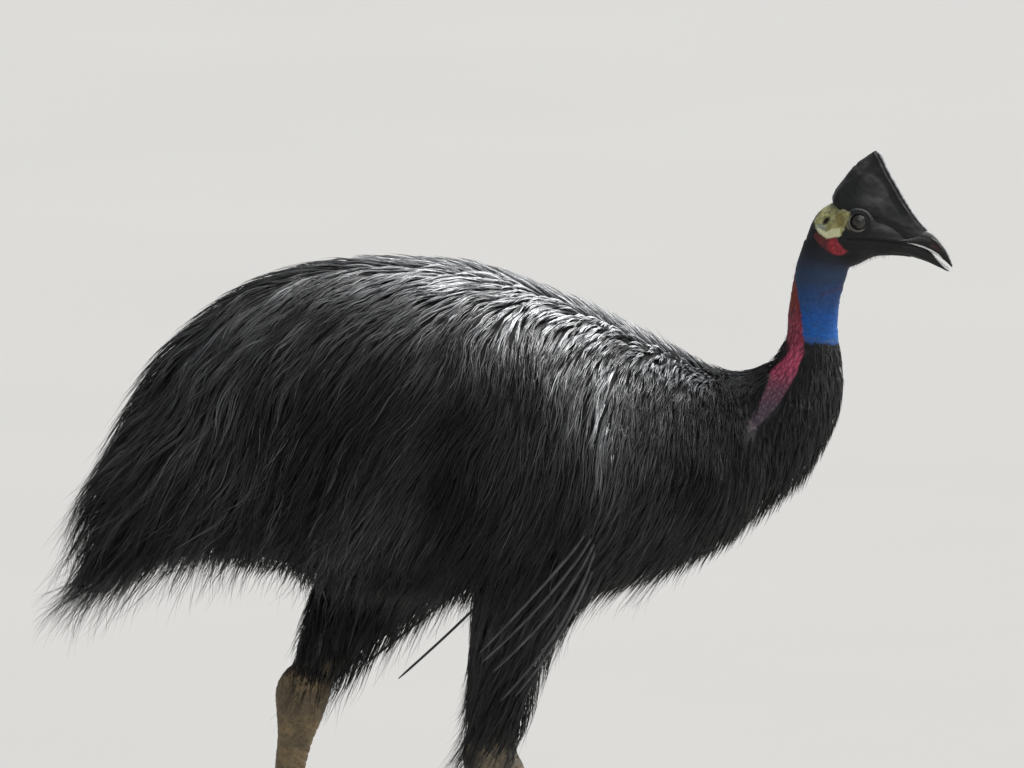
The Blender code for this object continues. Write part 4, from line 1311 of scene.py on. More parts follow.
    # a soft wave along each lock, the same for its neighbours in part
    tangent = unit(np.gradient(path, axis=1))
    across = unit(np.cross(tangent, up))
    lift = unit(np.cross(across, tangent))
    s = np.linspace(0, 1, steps + 1)[None]
    phase = RNG.uniform(0, 2 * np.pi, (lot, 1)) * 0.7 + grain(spots, 30, 71)[:, None] * 3
    turns = (length / coat[:, 2])[:, None] * RNG.uniform(0.75, 1.25, (lot, 1))
    wave = np.sin(2 * np.pi * turns * s + phase) - np.sin(phase)
    wave = wave * coat[:, 1:2] * smooth(0, 0.5, s) * RNG.uniform(0.3, 1.4, (lot, 1))
    path = path + across * wave[..., None]
    roll = np.sin(2 * np.pi * turns * s * 0.8 + phase + 1.7) * coat[:, 1:2] * 0.45
    path = path + lift * (roll * smooth(0.1, 0.6, s))[..., None]
    curl = RNG.normal(0, 1, (lot, 1)) * np.minimum(length, 60)[:, None] * 0.035
    path = path + across * (curl * s**2)[..., None]
    return path, across, lift, length, coat, reach


def strand_mesh(name, centres, across, lift, radius, flat, tone, spot):
    """Closed tapering three-sided strands as one mesh: centres (n, stations, 3)."""
    lot, stations = centres.shape[:2]
    rings = stations - 1
    turn = np.radians([270.0, 30.0, 150.0])
    ring = (
        centres[:, :rings, None]
        + across[:, :rings, None] * (radius[:, :rings, None, None] * np.cos(turn)[None, None, :, None])
        + lift[:, :rings, None] * (radius[:, :rings, None, None] * flat * np.sin(turn)[None, None, :, None])
    )
    per = rings * 3 + 1
    points = np.concatenate([ring.reshape(lot, rings * 3, 3), centres[:, -1:]], 1)
    a = np.arange(rings - 1)[:, None] * 3 + np.arange(3)
    b = np.arange(rings - 1)[:, None] * 3 + (np.arange(3) + 1) % 3
    quads = np.stack([a, a + 3, b + 3, b], -1).reshape(-1, 4)
    last = (rings - 1) * 3
    tips = np.array([[last, last + 3, last + 1], [last + 1, last + 3, last + 2], [last + 2, last + 3, last]])
    base = np.array([[0, 1, 2]])
    one = np.concatenate([quads.ravel(), tips.ravel(), base.ravel()])
    sizes = np.array([4] * len(quads) + [3] * 4)
    loops = (one[None] + (np.arange(lot) * per)[:, None]).ravel()
    starts_one = np.concatenate([[0], np.cumsum(sizes)[:-1]])
    starts = (starts_one[None] + (np.arange(lot) * len(one))[:, None]).ravel()
    mesh = bpy.data.meshes.new(name)
    mesh.vertices.add(lot * per)
    mesh.vertices.foreach_set("co", place(points.reshape(-1, 3)).astype(np.float32).ravel())
    mesh.loops.add(len(loops))
    mesh.loops.foreach_set("vertex_index", loops.astype(np.int32))
    mesh.polygons.add(len(starts))
    mesh.polygons.foreach_set("loop_start", starts.astype(np.int32))
    mesh.polygons.foreach_set("use_smooth", np.ones(len(starts), bool))
    # the map of the skin: each lock is a small patch at its root
    s = np.concatenate([np.repeat(np.arange(rings) / rings, 3), [1.0]])
    c = np.concatenate([np.tile([0.0, 0.5, 1.0], rings), [0.5]])
    local = np.stack([s * 0.003, c * 0.0012], 1)
    uv_points = spot[:, None] + local[None]
    uv = mesh.uv_layers.new(name="OFBake")
    uv.data.foreach_set("uv", uv_points.reshape(-1, 2)[loops].astype(np.float32).ravel())
    attribute = mesh.attributes.new("tone", "FLOAT", "POINT")
    attribute.data.foreach_set("value", np.repeat(tone, per).astype(np.float32))
    mesh.update()
    obj = bpy.data.objects.new(name, mesh)
    bpy.context.scene.collection.objects.link(obj)
    return obj, len(quads) * 2 * lot + 4 * lot


def sampled(path, s):
    """Points at shares s (n, stations) along paths (n, steps + 1, ...)."""
    steps = path.shape[1] - 1
    f = np.clip(s, 0, 1) * steps
    i = np.minimum(f.astype(int), steps - 1)
    w = (f - i)[..., None]
    row = np.arange(len(path))[:, None]
    return path[row, i] * (1 - w) + path[row, i + 1] * w


# how pale the feathers are, by place: x, z, tone. Low and middle tones are the feathers' own black and their dry
# brownish tips; the high tones on the back, shoulder and ridge are a painted sheen, the light's glint on glossy
# feathers laid into their colour, and the lower tones right along the top of the shoulder ridge are a painted shadow
# between the two sides' feathers
TONE_AND_SHEEN = [
    (335, 649, 0.50), (318, 652, 0.50), (300, 650, 0.30), (335, 630, 0.42), (330, 590, 0.40),
    (262, 622, 0.10), (262, 600, 0.10), (250, 540, 0.20), (300, 540, 0.34), (232, 622, 0.36), (230, 606, 0.24),
    (224, 580, 0.12), (205, 634, 0.70), (194, 626, 1.20), (208, 612, 1.10), (204, 590, 0.20), (183, 650, 0.60), (183, 637, 1.40),
    (183, 622, 1.15), (183, 600, 0.70), (190, 570, 0.20), (190, 500, 0.24), (150, 670, 0.60), (150, 656, 1.40),
    (152, 638, 1.40), (150, 615, 0.90), (150, 586, 0.46), (140, 550, 0.50), (150, 500, 0.46), (142, 474, 0.52),
    (112, 686, 0.95), (108, 674, 1.40), (124, 662, 1.40), (102, 654, 0.95), (102, 638, 0.76), (124, 624, 0.90), (100, 600, 0.98),
    (94, 570, 1.14), (101, 548, 0.80), (101, 516, 0.72), (125, 578, 0.76),
    (66, 707, 1.40), (60, 692, 1.40), (82, 684, 1.40), (60, 668, 1.25), (50, 632, 0.98), (70, 600, 0.88),
    (65, 545, 0.58), (44, 490, 0.40), (0, 734, 1.40), (0, 714, 1.40), (10, 694, 1.40), (20, 684, 1.38), (-4, 682, 1.38), (18, 666, 1.00),
    (18, 640, 0.76), (14, 600, 0.36), (14, 564, 0.42), (-60, 735, 1.30), (-64, 714, 1.38),
    (-58, 692, 1.20), (-52, 672, 0.80), (-105, 692, 0.85), (-60, 645, 0.48), (-54, 573, 0.23), (-120, 738, 1.14), (-150, 716, 1.13),
    (-140, 684, 0.72), (-140, 624, 0.34), (-157, 579, 0.30), (-208, 548, 0.20), (-216, 724, 0.50), (-270, 712, 0.36), (-316, 690, 0.34), (-195, 712, 0.80), (-236, 700, 0.94), (-208, 672, 0.34), (-332, 572, 0.48),
    (-230, 656, 0.48), (-200, 604, 0.38), (-200, 480, 0.24), (-284, 672, 0.62),
    (-330, 600, 0.46), (-290, 512, 0.47), (-370, 540, 0.42), (-300, 430, 0.40),
    (-400, 460, 0.30), (140, 440, 0.42), (60, 410, 0.40), (30, 340, 0.48), (0, 260, 0.34),
    (-60, 480, 0.23), (-126, 462, 0.58), (-170, 450, 0.50), (-100, 410, 0.36),
    (-160, 346, 0.34), (-196, 300, 0.20),
]  # fmt: skip
TONE_AND_SHEEN_ROWS = np.array(TONE_AND_SHEEN, float)


def tone_and_sheen_at(points):
    d2 = ((points[:, None, [0, 2]] - TONE_AND_SHEEN_ROWS[None, :, :2]) ** 2).sum(2) + 200.0
    w = d2**-1.9
    tone = (w * TONE_AND_SHEEN_ROWS[None, :, 2]).sum(1) / w.sum(1)
    # where the neck's feathers meet the flank's a fold catches the light
    d, _, share = polyline(points, [(72, 712, 1), (99, 632, 1), (99, 560, 1), (92, 515, 1)])
    return tone + 0.28 * np.exp(-((d / 9.0) ** 2)) * (1 - 0.4 * share)


def head_bristles(skin):
    """Short fine bristles under the jaw, before the eye and here and there on the neck."""
    p, n = arrays(skin)
    side = np.abs(p[:, 1])
    throat = smooth(-0.15, -0.6, n[:, 2]) * smooth(340, 352, p[:, 0]) * smooth(404, 392, p[:, 0])
    throat *= (p[:, 2] > 715) & (p[:, 2] < 752)
    throat = throat * 0.35
    lores = ellipse(p, 392, 762, 9, 5, -10) * (side > 9) * 0.10
    neck = 0.030 * (p[:, 2] > 660) * (p[:, 2] < 735) * (p[:, 0] < 352)
    crown = 0.20 * (p[:, 0] < 336) * (p[:, 2] > 778)
    weight = np.maximum.reduce([throat, lores, neck * 1.0, crown])
    weight = np.where(p[:, 0] > 285, weight, 0)
    lot = 420
    pick = RNG.choice(len(p), size=lot, p=weight / weight.sum())
    root, out = p[pick], n[pick]
    on_neck = (neck[pick] > 0) & (throat[pick] < 0.02)
    size = RNG.uniform(1.8, 4.6, lot) * np.where(on_neck, 1.3, 1.0)
    down = np.array([-0.35, 0.0, -0.8])
    way = unit(out * 0.75 + down + RNG.normal(0, 0.22, (lot, 3)))
    s = np.linspace(0, 1, 5)[None, :, None]
    centre = root[:, None] + way[:, None] * size[:, None, None] * s
    centre[..., 2] -= (0.22 * size[:, None, None] * s**2)[..., 0]
    across = unit(np.cross(way, out + 1e-3))
    lift = unit(np.cross(across, way))
    b = np.repeat(across[:, None], 5, axis=1)
    q = np.repeat(lift[:, None], 5, axis=1)
    radius = RNG.uniform(0.09, 0.17, (lot, 1)) * np.array([1.0, 0.9, 0.75, 0.5, 0.15])[None]
    tone = np.where(on_neck, 0.35, RNG.uniform(0.1, 0.5, lot))
    return centre, b, q, radius, tone, unwrap(root)


def plumage(skin, core_tree, mass_tree, finish):
    """Locks of hair-like feathers, each a few closed strands that part toward the tips."""
    tufts = 10620
    spots = roots(skin, tufts)
    path, across, lift, length, coat, reach = guides(spots, core_tree, mass_tree, 12)
    where = unwrap(spots)
    lot = len(spots)
    # base is the tone table's value at each lock; ridge and bright pick out the locks that carry the painted sheen
    base = tone_and_sheen_at(path[:, 10])
    rump = smooth(-60, -200, spots[:, 0])
    ridge = smooth(0.72, 1.0, base)
    bright = smooth(1.08, 1.4, base)
    lock_tone = base + RNG.normal(0, 1, lot) * (0.04 + 0.12 * rump + 0.04 * ridge + 0.15 * bright)
    lock_tone += grain(spots, 40, 72) * 0.06 + grain(spots, 14, 74) * 0.12 * rump
    outer = smooth(0.55, 0.95, reach)
    neck_side = smooth(205, 250, spots[:, 0])
    total = 0
    pieces = []

    def keep(centre, b, n, radius, tone, spot, name):
        nonlocal total
        each = (centre.shape[1] - 2) * 6 + 4
        order = RNG.permutation(len(centre))
        most = int(190000 // each)
        for start in range(0, len(order), most):
            part = order[start : start + most]
            obj, tris = strand_mesh(
                f"{name}_{len(pieces):02d}", centre[part], b[part], n[part],
                radius[part], 0.66, tone[part], spot[part],
            )  # fmt: skip
            obj.data.materials.append(finish)
            pieces.append(obj)
            total += tris

    straight = (length < 34) | ((length < 62) & (coat[:, 1] < 0.9))
    long = (length > 105) | ((coat[:, 1] > 1.1) & (length > 40))
    for stations, chosen in (
        (5, np.where(straight)[0]),
        (7, np.where(~straight & ~long)[0]),
        (9, np.where(long & ~straight)[0]),
    ):
        blocks = []
        for number in range(4):
            i = chosen
            if not len(i):
                continue
            a = RNG.uniform(0, 2 * np.pi, len(i))
            far = np.sqrt(RNG.random(len(i))) if number else np.zeros(len(i))
            half = coat[i, 3] * (1 - 0.42 * ridge[i])
            side_off = np.cos(a) * far * half
            up_off = np.sin(a) * far * half * 0.4
            s0 = RNG.uniform(0.0, 0.16, len(i)) * (number > 0)
            s1 = np.where(number == 0, 1.0, RNG.uniform(0.70, 1.0, len(i)))
            share = np.linspace(0, 1, stations)[None]
            s = s0[:, None] + (s1 - s0)[:, None] * share
            centre = sampled(path[i], s)
            b = unit(sampled(across[i], s))
            n = unit(sampled(lift[i], s))
            spread = 0.55 + 0.65 * np.sin(np.pi * np.minimum(share * 1.1, 1)) - 0.25 * share
            splay = RNG.normal(0, 1.0, (len(i), 1)) * share**2 * half[:, None] * (0.85 - 0.35 * neck_side[i, None])
            drift = 1.3 * np.sin(np.pi * share * RNG.uniform(0.6, 1.4, (len(i), 1)))
            splay = splay + drift * RNG.normal(0, 1, (len(i), 1)) * (1 - 0.6 * np.maximum(ridge[i], neck_side[i])[:, None])
            shiver = np.sin(
                2 * np.pi * (share * (length[i, None] / 26.0) + RNG.random((len(i), 1)))
            ) * np.minimum(coat[i, 1:2], 1.2) * 0.22 * share
            centre = centre + b * (side_off[:, None] * spread + splay + shiver)[..., None]
            centre = centre + n * (up_off[:, None] * spread)[..., None]
            thick = np.interp(length[i], [14, 40, 140], [0.44, 0.54, 0.64])
            wide = thick * RNG.uniform(0.65, 1.2, len(i)) * (1.40 - 0.55 * outer[i]) * (1 + 0.45 * ridge[i] + 0.25 * bright[i])
            shape = np.interp(share[0], [0, 0.25, 0.7, 1], [0.8, 1.0, 0.68, 0.10])
            radius = wide[:, None] * shape[None]
            tone = lock_tone[i] + RNG.normal(0, 1, len(i)) * (0.03 + 0.06 * smooth(0.2, 0.7, base[i]) + 0.06 * bright[i]) * (1 - 0.7 * neck_side[i])
            chance = 0.015 + 0.08 * rump[i] + 0.02 * smooth(0.2, 0.5, base[i])
            tone += 0.30 * (RNG.random(len(i)) < chance * (1 - neck_side[i]) * (1 - ridge[i]))
            # painted shade: locks that lie deeper in the coat, under the outer ones, are made darker, less so on the
            # ridge and the neck
            tone = np.clip(tone, 0, 0.90 + 0.50 * ridge[i]) * (1 - (0.32 - 0.20 * np.maximum(ridge[i], neck_side[i])) * (1 - outer[i]))
            spot = where[i] + np.array([0.0, 0.0009 * (number % 2)])
            blocks.append((centre, b, n, radius, tone, spot))
        if not blocks:
            continue
        keep(*(np.concatenate(x) for x in zip(*blocks)), "plumage")

    # single fine strands that stray past the coat's edge, most at the tail and fringes
    x, z = spots[:, 0], spots[:, 2]
    tail = smooth(-230, -330, x)
    fringe = smooth(470, 430, z) * smooth(250, 200, x)
    neck = smooth(262, 300, x)
    back = smooth(690, 720, z)
    hem = smooth(345, 300, z)
    shy = smooth(410, 350, z) * (spots[:, 1] < 0) * smooth(6, -14, x - (z - 280) * 0.19)
    wish = 0.08 + 1.0 * tail + 0.75 * fringe + 0.30 * neck + 0.12 * back + 1.1 * hem + 3.6 * shy
    wish *= smooth(0.5, 0.9, reach)
    some = RNG.choice(lot, size=4400, p=wish / wish.sum())
    extra = 4 + 26 * tail[some] + (14 * fringe[some] + 12 * hem[some]) * (1 - tail[some])
    extra -= 1.5 * neck[some]
    extra = extra * RNG.uniform(0.35, 1.5, len(some))
    start = RNG.uniform(0.35, 0.6, len(some))
    s = start[:, None] + (1 - start)[:, None] * np.linspace(0, 1, 4)[None]
    inner = sampled(path[some], s)
    end = unit(path[some, -1] - path[some, -3])
    ahead = np.linspace(0, 1, 4)[None, 1:, None] * extra[:, None, None]
    outward = RNG.normal(0, 1, (len(some), 3)) * 0.16
    bend = (np.linspace(0, 1, 4)[None, 1:, None] ** 2) * extra[:, None, None]
    beyond = path[some, -1][:, None] + end[:, None] * ahead + outward[:, None] * bend
    beyond[..., 2] -= 0.18 * bend[..., 0]
    beyond[..., 0] -= 0.34 * bend[..., 0] * shy[some][:, None]
    # none reaches more than 28 mm behind the tail's solid outline
    tip = path[some, -1][:, None]
    fit = np.clip((tip[:, 0, 0] + 488) / np.maximum(tip[:, 0, 0] - beyond[:, -1, 0], 0.01), 0.02, 1)
    beyond = tip + (beyond - tip) * fit[:, None, None]
    centre = np.concatenate([inner, beyond], 1)
    off = RNG.normal(0, 1.6, (len(some), 1))
    b = np.repeat(across[some][:, 6:7], 7, axis=1)
    n = np.repeat(lift[some][:, 6:7], 7, axis=1)
    centre = centre + b * off[..., None] * np.linspace(0.3, 1, 7)[None, :, None]
    shape = np.array([0.9, 1.0, 0.95, 0.85, 0.7, 0.5, 0.12])
    radius = RNG.uniform(0.17, 0.30, (len(some), 1)) * shape[None]
    tone = np.clip(lock_tone[some] + 0.12, 0, 0.75)
    keep(centre, b, n, radius, tone, where[some], "plumage")
    bristles = head_bristles(skin)
    keep(*bristles, "bristles")
    print("plumage: tufts", lot, "pieces", len(pieces), "triangles", total)
    return pieces


# ------------------------------------------------------------------ build
from time import time as clock

began = clock()


def lap(what):
    print(f"{clock() - began:6.1f} s  {what}")


skin = body_core()
core_copy = skin.data.copy()
lap("body")
top = head_and_neck()
lap("head and neck")
legs = [leg(side, sign) for side, sign in SIDES]
lap("legs")
skin = union(skin, top)
for piece in legs:
    skin = union(skin, piece)
skin.name = "skin"
refined(skin, stripe_place, stripe_relief)
paint_skin(skin)
skin.data.polygons.foreach_set("use_smooth", np.ones(len(skin.data.polygons), bool))
skin.data.materials.clear()
skin.data.materials.append(skin_material())
lap(f"skin joined, {len(skin.data.polygons)} faces")

mass = feathered_mass()
mass_tree = tree_of(mass)
core_tree = tree_of(skin)
coat_finish = plumage_material()
coat_pieces = plumage(skin, core_tree, mass_tree, coat_finish)
lap("plumage")


# ------------------------------------------------------------------ casque and bill
def casque_rings(count, sides):
    foot = spline(CASQUE_FOOT, 60)
    rows = spline(CASQUE, count)
    a = 2 * np.pi * (np.arange(sides) + 0.5) / sides
    c, s = np.cos(a), np.sin(a)
    up = (np.sign(s) * np.abs(s) ** 0.62 + 1) / 2
    out = np.empty((count, sides, 3))
    for i, (x, crest, top, base) in enumerate(rows):
        low = float(np.interp(x, foot[:, 0], foot[:, 1]))
        wide = base + (top - base) * up**0.85
        bulge = 1.1 * np.sin(np.pi * up) * math.exp(-(((x - 372) / 16) ** 2))
        side = np.sign(c) * np.abs(c) ** np.where(s < 0, 0.16, 0.55)
        out[i, :, 0] = x
        out[i, :, 1] = side * (wide + bulge)
        out[i, :, 2] = low + (crest - low) * up
    return out


def casque_piece():
    obj = loft("casque_horn", casque_rings(110, 96))
    obj = remeshed(obj, 0.8, 6)
    p, n = arrays(obj)
    side = np.abs(p[:, 1])
    x, z = p[:, 0], p[:, 2]
    flat = smooth(2.5, 8, side)
    push = np.zeros(len(p))

    def soft(cx, cz, rx, rz, turn):
        a = math.radians(turn)
        dx, dz = x - cx, z - cz
        u, v = dx * math.cos(a) + dz * math.sin(a), -dx * math.sin(a) + dz * math.cos(a)
        return np.exp(-((u / rx) ** 2) - (v / rz) ** 2)

    # a long swelling over the eye with a rounder knob at its front end
    push += flat * 2.1 * soft(374, 791, 17, 8.5, -8)
    push += flat * 1.5 * soft(386, 792, 7.5, 9.0, 0)
    # it runs out into a low ridge toward the bill
    d, w, _ = polyline(p, [(388, 783, 1), (396, 777, 1), (408, 772, 1), (420, 768.5, 1)])
    push += 0.30 * np.exp(-((d / 2.6) ** 2)) * smooth(1.5, 5, side)
    # hollow between the swelling and the front keel, and above it
    d, w, _ = polyline(p, [(385, 822, 1), (394, 812, 1), (402, 797, 1), (411, 782, 1)])
    push -= 1.0 * np.exp(-((d / 4.2) ** 2)) * smooth(1.0, 4, side)
    # a fine line runs down just behind the keel's edge
    keel = np.array(KEEL, float)[::-1]
    front = np.interp(z, keel[:, 1], keel[:, 0])
    behind = front - x
    push += 0.55 * np.exp(-(((behind - 7.0) / 1.1) ** 2)) * smooth(0.3, 1.2, side) * smooth(776, 790, z)
    push -= 0.35 * np.exp(-(((behind - 4.2) / 1.4) ** 2)) * smooth(0.3, 1.2, side)
    # the flat rear face, set off by a rounded edge
    edge = [(381.5, 842, 1), (374.5, 831, 1), (367.5, 823, 1), (355, 814.5, 1), (344, 804, 1)]
    d, w, _ = polyline(p, edge)
    rear = np.interp(z, [800, 806, 817.5, 829.5, 838.5, 843.5], [341, 344, 352, 361, 371, 379])
    push += 0.55 * np.exp(-((d / 2.6) ** 2)) * smooth(2.5, 6, side)
    inner = np.interp(z, [804, 814.5, 823, 831, 842], [344, 355, 367.5, 374.5, 381.5])
    push -= 0.9 * np.exp(-(((x - inner - 7.5) / 5.0) ** 2)) * flat * smooth(798, 808, z)
    # a small notch high on the rear edge
    push -= 0.8 * soft(363.5, 832, 2.0, 2.6, 50)
    push += grain(p, 12, 81) * 0.5 + grain(p, 5.0, 82) * 0.22 + grain(p, 2.0, 83) * 0.06
    # growth lines and scuffs
    lines = np.sin((x * 0.62 - z * 0.78) / 1.15 + 1.4 * grain(p, 9, 87))
    push += 0.07 * lines * smooth(0.1, 0.6, grain(p, 13, 88))
    chips = smooth(0.42, 0.7, grain(p, 6, 84)) * smooth(3.4, 1.2, side) * smooth(350, 380, x)
    push -= chips * 0.6
    p = p + n * push[:, None]
    move_points(obj, p)
    obj.data.polygons.foreach_set("use_smooth", np.ones(len(obj.data.polygons), bool))
    return obj


NOSTRIL = [(442.5, 749.8, 1), (445.5, 748.0, 1), (448.2, 745.6, 1)]


def bill_piece(name, table, egg, power, upper):
    obj = loft(name, upright_rings(table, 90, 64, egg=egg, power=power))
    obj = remeshed(obj, 0.55, 5)
    p, n = arrays(obj)
    side = np.abs(p[:, 1])
    push = grain(p, 7, 91) * 0.18 + grain(p, 2.4, 92) * 0.05
    if upper:
        # nostril: a long slit on each side, with a raised rim above
        d, w, _ = polyline(p, NOSTRIL)
        push -= 0.9 * np.exp(-((d / 1.9) ** 2)) * smooth(1.2, 3, side)
        d, w, _ = polyline(p, [(442, 755.5, 1), (446.5, 752.5, 1), (451, 746.5, 1)])
        push += 0.45 * np.exp(-((d / 0.9) ** 2)) * smooth(1.2, 3, side)
        # side groove that sets off the culmen
        d, w, _ = polyline(p, [(404, 760, 1), (420, 759.5, 1), (433, 758, 1), (440, 755.5, 1)])
        push -= 0.25 * np.exp(-((d / 1.4) ** 2)) * smooth(1.2, 3.5, side)
        # the cutting edge stands out a little
        edge = np.interp(p[:, 0], [400, 421, 438, 447, 455, 461], [753.2, 750.2, 743.8, 739, 733.4, 727.8])
        push += 0.35 * np.exp(-(((p[:, 2] - edge - 1.2) / 1.0) ** 2)) * smooth(1.0, 3.0, side)
    else:
        d, w, _ = polyline(p, [(400, 746, 1), (424, 742.5, 1), (440, 735.2, 1), (452, 727.5, 1)])
        push -= 0.45 * np.exp(-((d / 1.0) ** 2)) * smooth(1.2, 3.5, side)
    growth = np.sin(p[:, 0] / 0.9 + 1.6 * grain(p, 8, 93))
    push += 0.05 * growth * smooth(0.0, 0.5, grain(p, 10, 94))
    p = p + n * push[:, None]
    move_points(obj, p)
    obj.data.polygons.foreach_set("use_smooth", np.ones(len(obj.data.polygons), bool))
    return obj


def painted_horn(obj, name, base, edge, mask, roughness, rim=None, light=(0.34, 0.34, 0.345)):
    """Horn whose colour goes from base to edge by a mask worked out by place, with a pale rim painted where the light
    catches the horn's edges: a painted highlight.
    """
    for key, data in (("edge", mask), ("rim", mask * 0 if rim is None else rim)):
        attribute = obj.data.attributes.new(key, "FLOAT", "POINT")
        attribute.data.foreach_set("value", np.clip(data, 0, 1).astype(np.float32))
    m, nodes, links, shader = material(name)
    _, share = painted(nodes, "edge")
    broad = noise_of(nodes, links, 9, 5, 0.6)
    fine = noise_of(nodes, links, 1.4, 4, 0.7)
    worn = mixed(
        nodes, links, ranged(nodes, links, broad.outputs["Fac"], 0.4, 0.7, 0, 1),
        (*base, 1), (*[c * 1.7 for c in base], 1),
    )  # fmt: skip
    colour = mixed(nodes, links, share, worn, (*edge, 1))
    # painted highlight: where the rim mask is set, the colour goes to the pale light colour
    _, pale = painted(nodes, "rim")
    colour = mixed(nodes, links, pale, colour, (*light, 1))
    shader.inputs["Specular IOR Level"].default_value = 0.25
    links.new(colour, shader.inputs["Base Color"])
    links.new(
        ranged(nodes, links, broad.outputs["Fac"], 0.3, 0.7, roughness - 0.05, roughness + 0.12),
        shader.inputs["Roughness"],
    )
    bumped(nodes, links, shader, fine.outputs["Fac"], 0.25, 0.2)
    obj.data.materials.clear()
    obj.data.materials.append(m)
    return obj


casque = casque_piece()
p, n = arrays(casque)
side = np.abs(p[:, 1])
scuff = np.clip(0.65 + 0.6 * grain(p, 3.0, 85), 0, 1)
worn = 0.60 * np.exp(-(((p[:, 0] - 379) / 12) ** 2) - ((p[:, 2] - 788) / 9) ** 2) * scuff
worn = np.maximum(worn, 0.18 * smooth(0.2, 0.6, grain(p, 9, 86)) * scuff)
rear_face = np.interp(p[:, 2], [804, 814.5, 823, 831, 842], [344, 355, 367.5, 374.5, 381.5])
worn = np.maximum(worn, 0.45 * smooth(1.0, -1.5, p[:, 0] - rear_face) * smooth(800, 808, p[:, 2]) * scuff)
speck = np.clip(grain(p, 1.5, 89) * 1.6, -0.4, 0.8)
worn = np.clip(worn * (1 + 0.7 * speck), 0, 1)
# painted highlight: a pale line along the keel's front edge
d, w, share = polyline(p, KEEL)
rim = smooth(2.2, 1.1, d + 0.4 * grain(p, 2.5, 79)) * (0.85 + 0.25 * grain(p, 5, 80))
painted_horn(casque, "casque_horn", (0.0060, 0.0060, 0.0060), (0.034, 0.033, 0.032), worn, 0.52, rim)
bill_top = bill_piece("bill_upper_horn", BILL, 0.25, 0.85, True)
p, n = arrays(bill_top)
d, w, _ = polyline(p, NOSTRIL)
mask = 0.9 * smooth(3.0, 0.6, d) * smooth(1.2, 3, np.abs(p[:, 1]))
# painted highlights: a pale line along the culmen and a white strip along the cutting edge
d, w, share = polyline(p, CULMEN)
rim = 0.28 * smooth(2.1 - 0.8 * share, 1.1 - 0.5 * share, d + 0.4 * grain(p, 3, 78)) * smooth(430, 437, p[:, 0])
d, w, _ = polyline(p, TOMIUM)
rim = np.maximum(rim, smooth(0.35, -0.35, d - w))
painted_horn(
    bill_top, "bill_horn", (0.0068, 0.0066, 0.0066), (0.034, 0.014, 0.013), mask, 0.48, rim, (0.86, 0.86, 0.84)
)
bill_low = bill_piece("bill_lower_horn", JAW, -0.2, 0.85, False)
p, n = arrays(bill_low)
d, w, _ = polyline(p, [(424, 743.4, 1), (440, 736.4, 1), (452, 729, 1), (460, 723.4, 1)])
mask = 0.5 * smooth(2.2, 0.4, d) * (0.7 + 0.5 * grain(p, 4, 77))
# painted highlight: its upper edge is painted white toward the tip, the light on that edge laid into the colour
places = np.arange(400, 466, 1.0)
edge_z = np.array([p[np.abs(p[:, 0] - x) < 1.2, 2].max(initial=700.0) for x in places])
under_edge = np.interp(p[:, 0], places, edge_z) - p[:, 2]
rim = smooth(0.5, -0.5, under_edge - np.interp(p[:, 0], [430, 444, 453, 461], [-0.6, 1.5, 3.0, 3.6]))
painted_horn(
    bill_low, "bill_lower_horn", (0.0078, 0.0076, 0.0074), (0.022, 0.021, 0.020), mask, 0.46, rim, (0.80, 0.80, 0.78)
)
lap("horn")


# ------------------------------------------------------------------ eyes
def eye_material():
    m, nodes, links, shader = material("eye")
    _, share = painted(nodes, "iris")
    fibre = noise_of(nodes, links, 1.1, 4, 0.7)
    brown = mixed(
        nodes, links, ranged(nodes, links, fibre.outputs["Fac"], 0.3, 0.7, 0, 1),
        (0.010, 0.009, 0.007, 1), (0.026, 0.022, 0.017, 1),
    )  # fmt: skip
    colour = mixed(nodes, links, ranged(nodes, links, share, 0.26, 0.46, 0, 1), (0.004, 0.004, 0.004, 1), brown)
    colour = mixed(nodes, links, ranged(nodes, links, share, 0.86, 0.96, 0, 1), colour, (0.004, 0.003, 0.003, 1))
    links.new(colour, shader.inputs["Base Color"])
    shader.inputs["Roughness"].default_value = 0.30
    shader.inputs["Specular IOR Level"].default_value = 0.25
    shader.inputs["Coat Weight"].default_value = 0.55
    shader.inputs["Coat Roughness"].default_value = 0.16
    bumped(nodes, links, shader, fibre.outputs["Fac"], 0.04, 0.05)
    return m


eye_finish = eye_material()
eyes = []
for side_name, sign in SIDES:
    bpy.ops.mesh.primitive_uv_sphere_add(segments=64, ring_count=40, radius=1)
    eye = bpy.context.object
    eye.name = "eyeball_" + side_name
    turn = Matrix.Rotation(math.pi / 2, 4, "X")
    centre = place((EYE_X, sign * EYE_Y, EYE_Z))
    ball = Matrix.Translation(Vector(centre)) @ turn @ Matrix.Scale((EYE_RADIUS - 0.15) * MM, 4)
    eye.data.transform(ball)
    eye.matrix_world = Matrix.Identity(4)
    p, n = arrays(eye)
    out = (p[:, 1] * sign - EYE_Y) / EYE_RADIUS
    r = np.sqrt((p[:, 0] - LID_X) ** 2 + (p[:, 2] - EYE_Z) ** 2) / 7.7
    # cornea: a slight extra bulge in front of the iris
    swell = smooth(0.95, 0.2, r) * (out > 0) * 0.55
    move_points(eye, p + n * swell[:, None])
    attribute = eye.data.attributes.new("iris", "FLOAT", "POINT")
    attribute.data.foreach_set("value", np.where(out > 0, r, 2.0).astype(np.float32))
    eye.data.shade_smooth()
    eye.data.materials.append(eye_finish)
    eyes.append(eye)


# ------------------------------------------------------------------ wing quills and claws
def swept(name, line, radii, sides, frame_up=(0, 1, 0)):
    """A round tapered rod along a line of design points."""
    line = np.asarray(line, float)
    tangent = unit(np.gradient(line, axis=0))
    up = np.asarray(frame_up, float)
    a = unit(np.cross(tangent, up))
    b = np.cross(a, tangent)
    turn = 2 * np.pi * np.arange(sides) / sides
    rings = line[:, None] + np.asarray(radii)[:, None, None] * (
        a[:, None] * np.cos(turn)[None, :, None] + b[:, None] * np.sin(turn)[None, :, None]
    )
    return loft(name, rings)


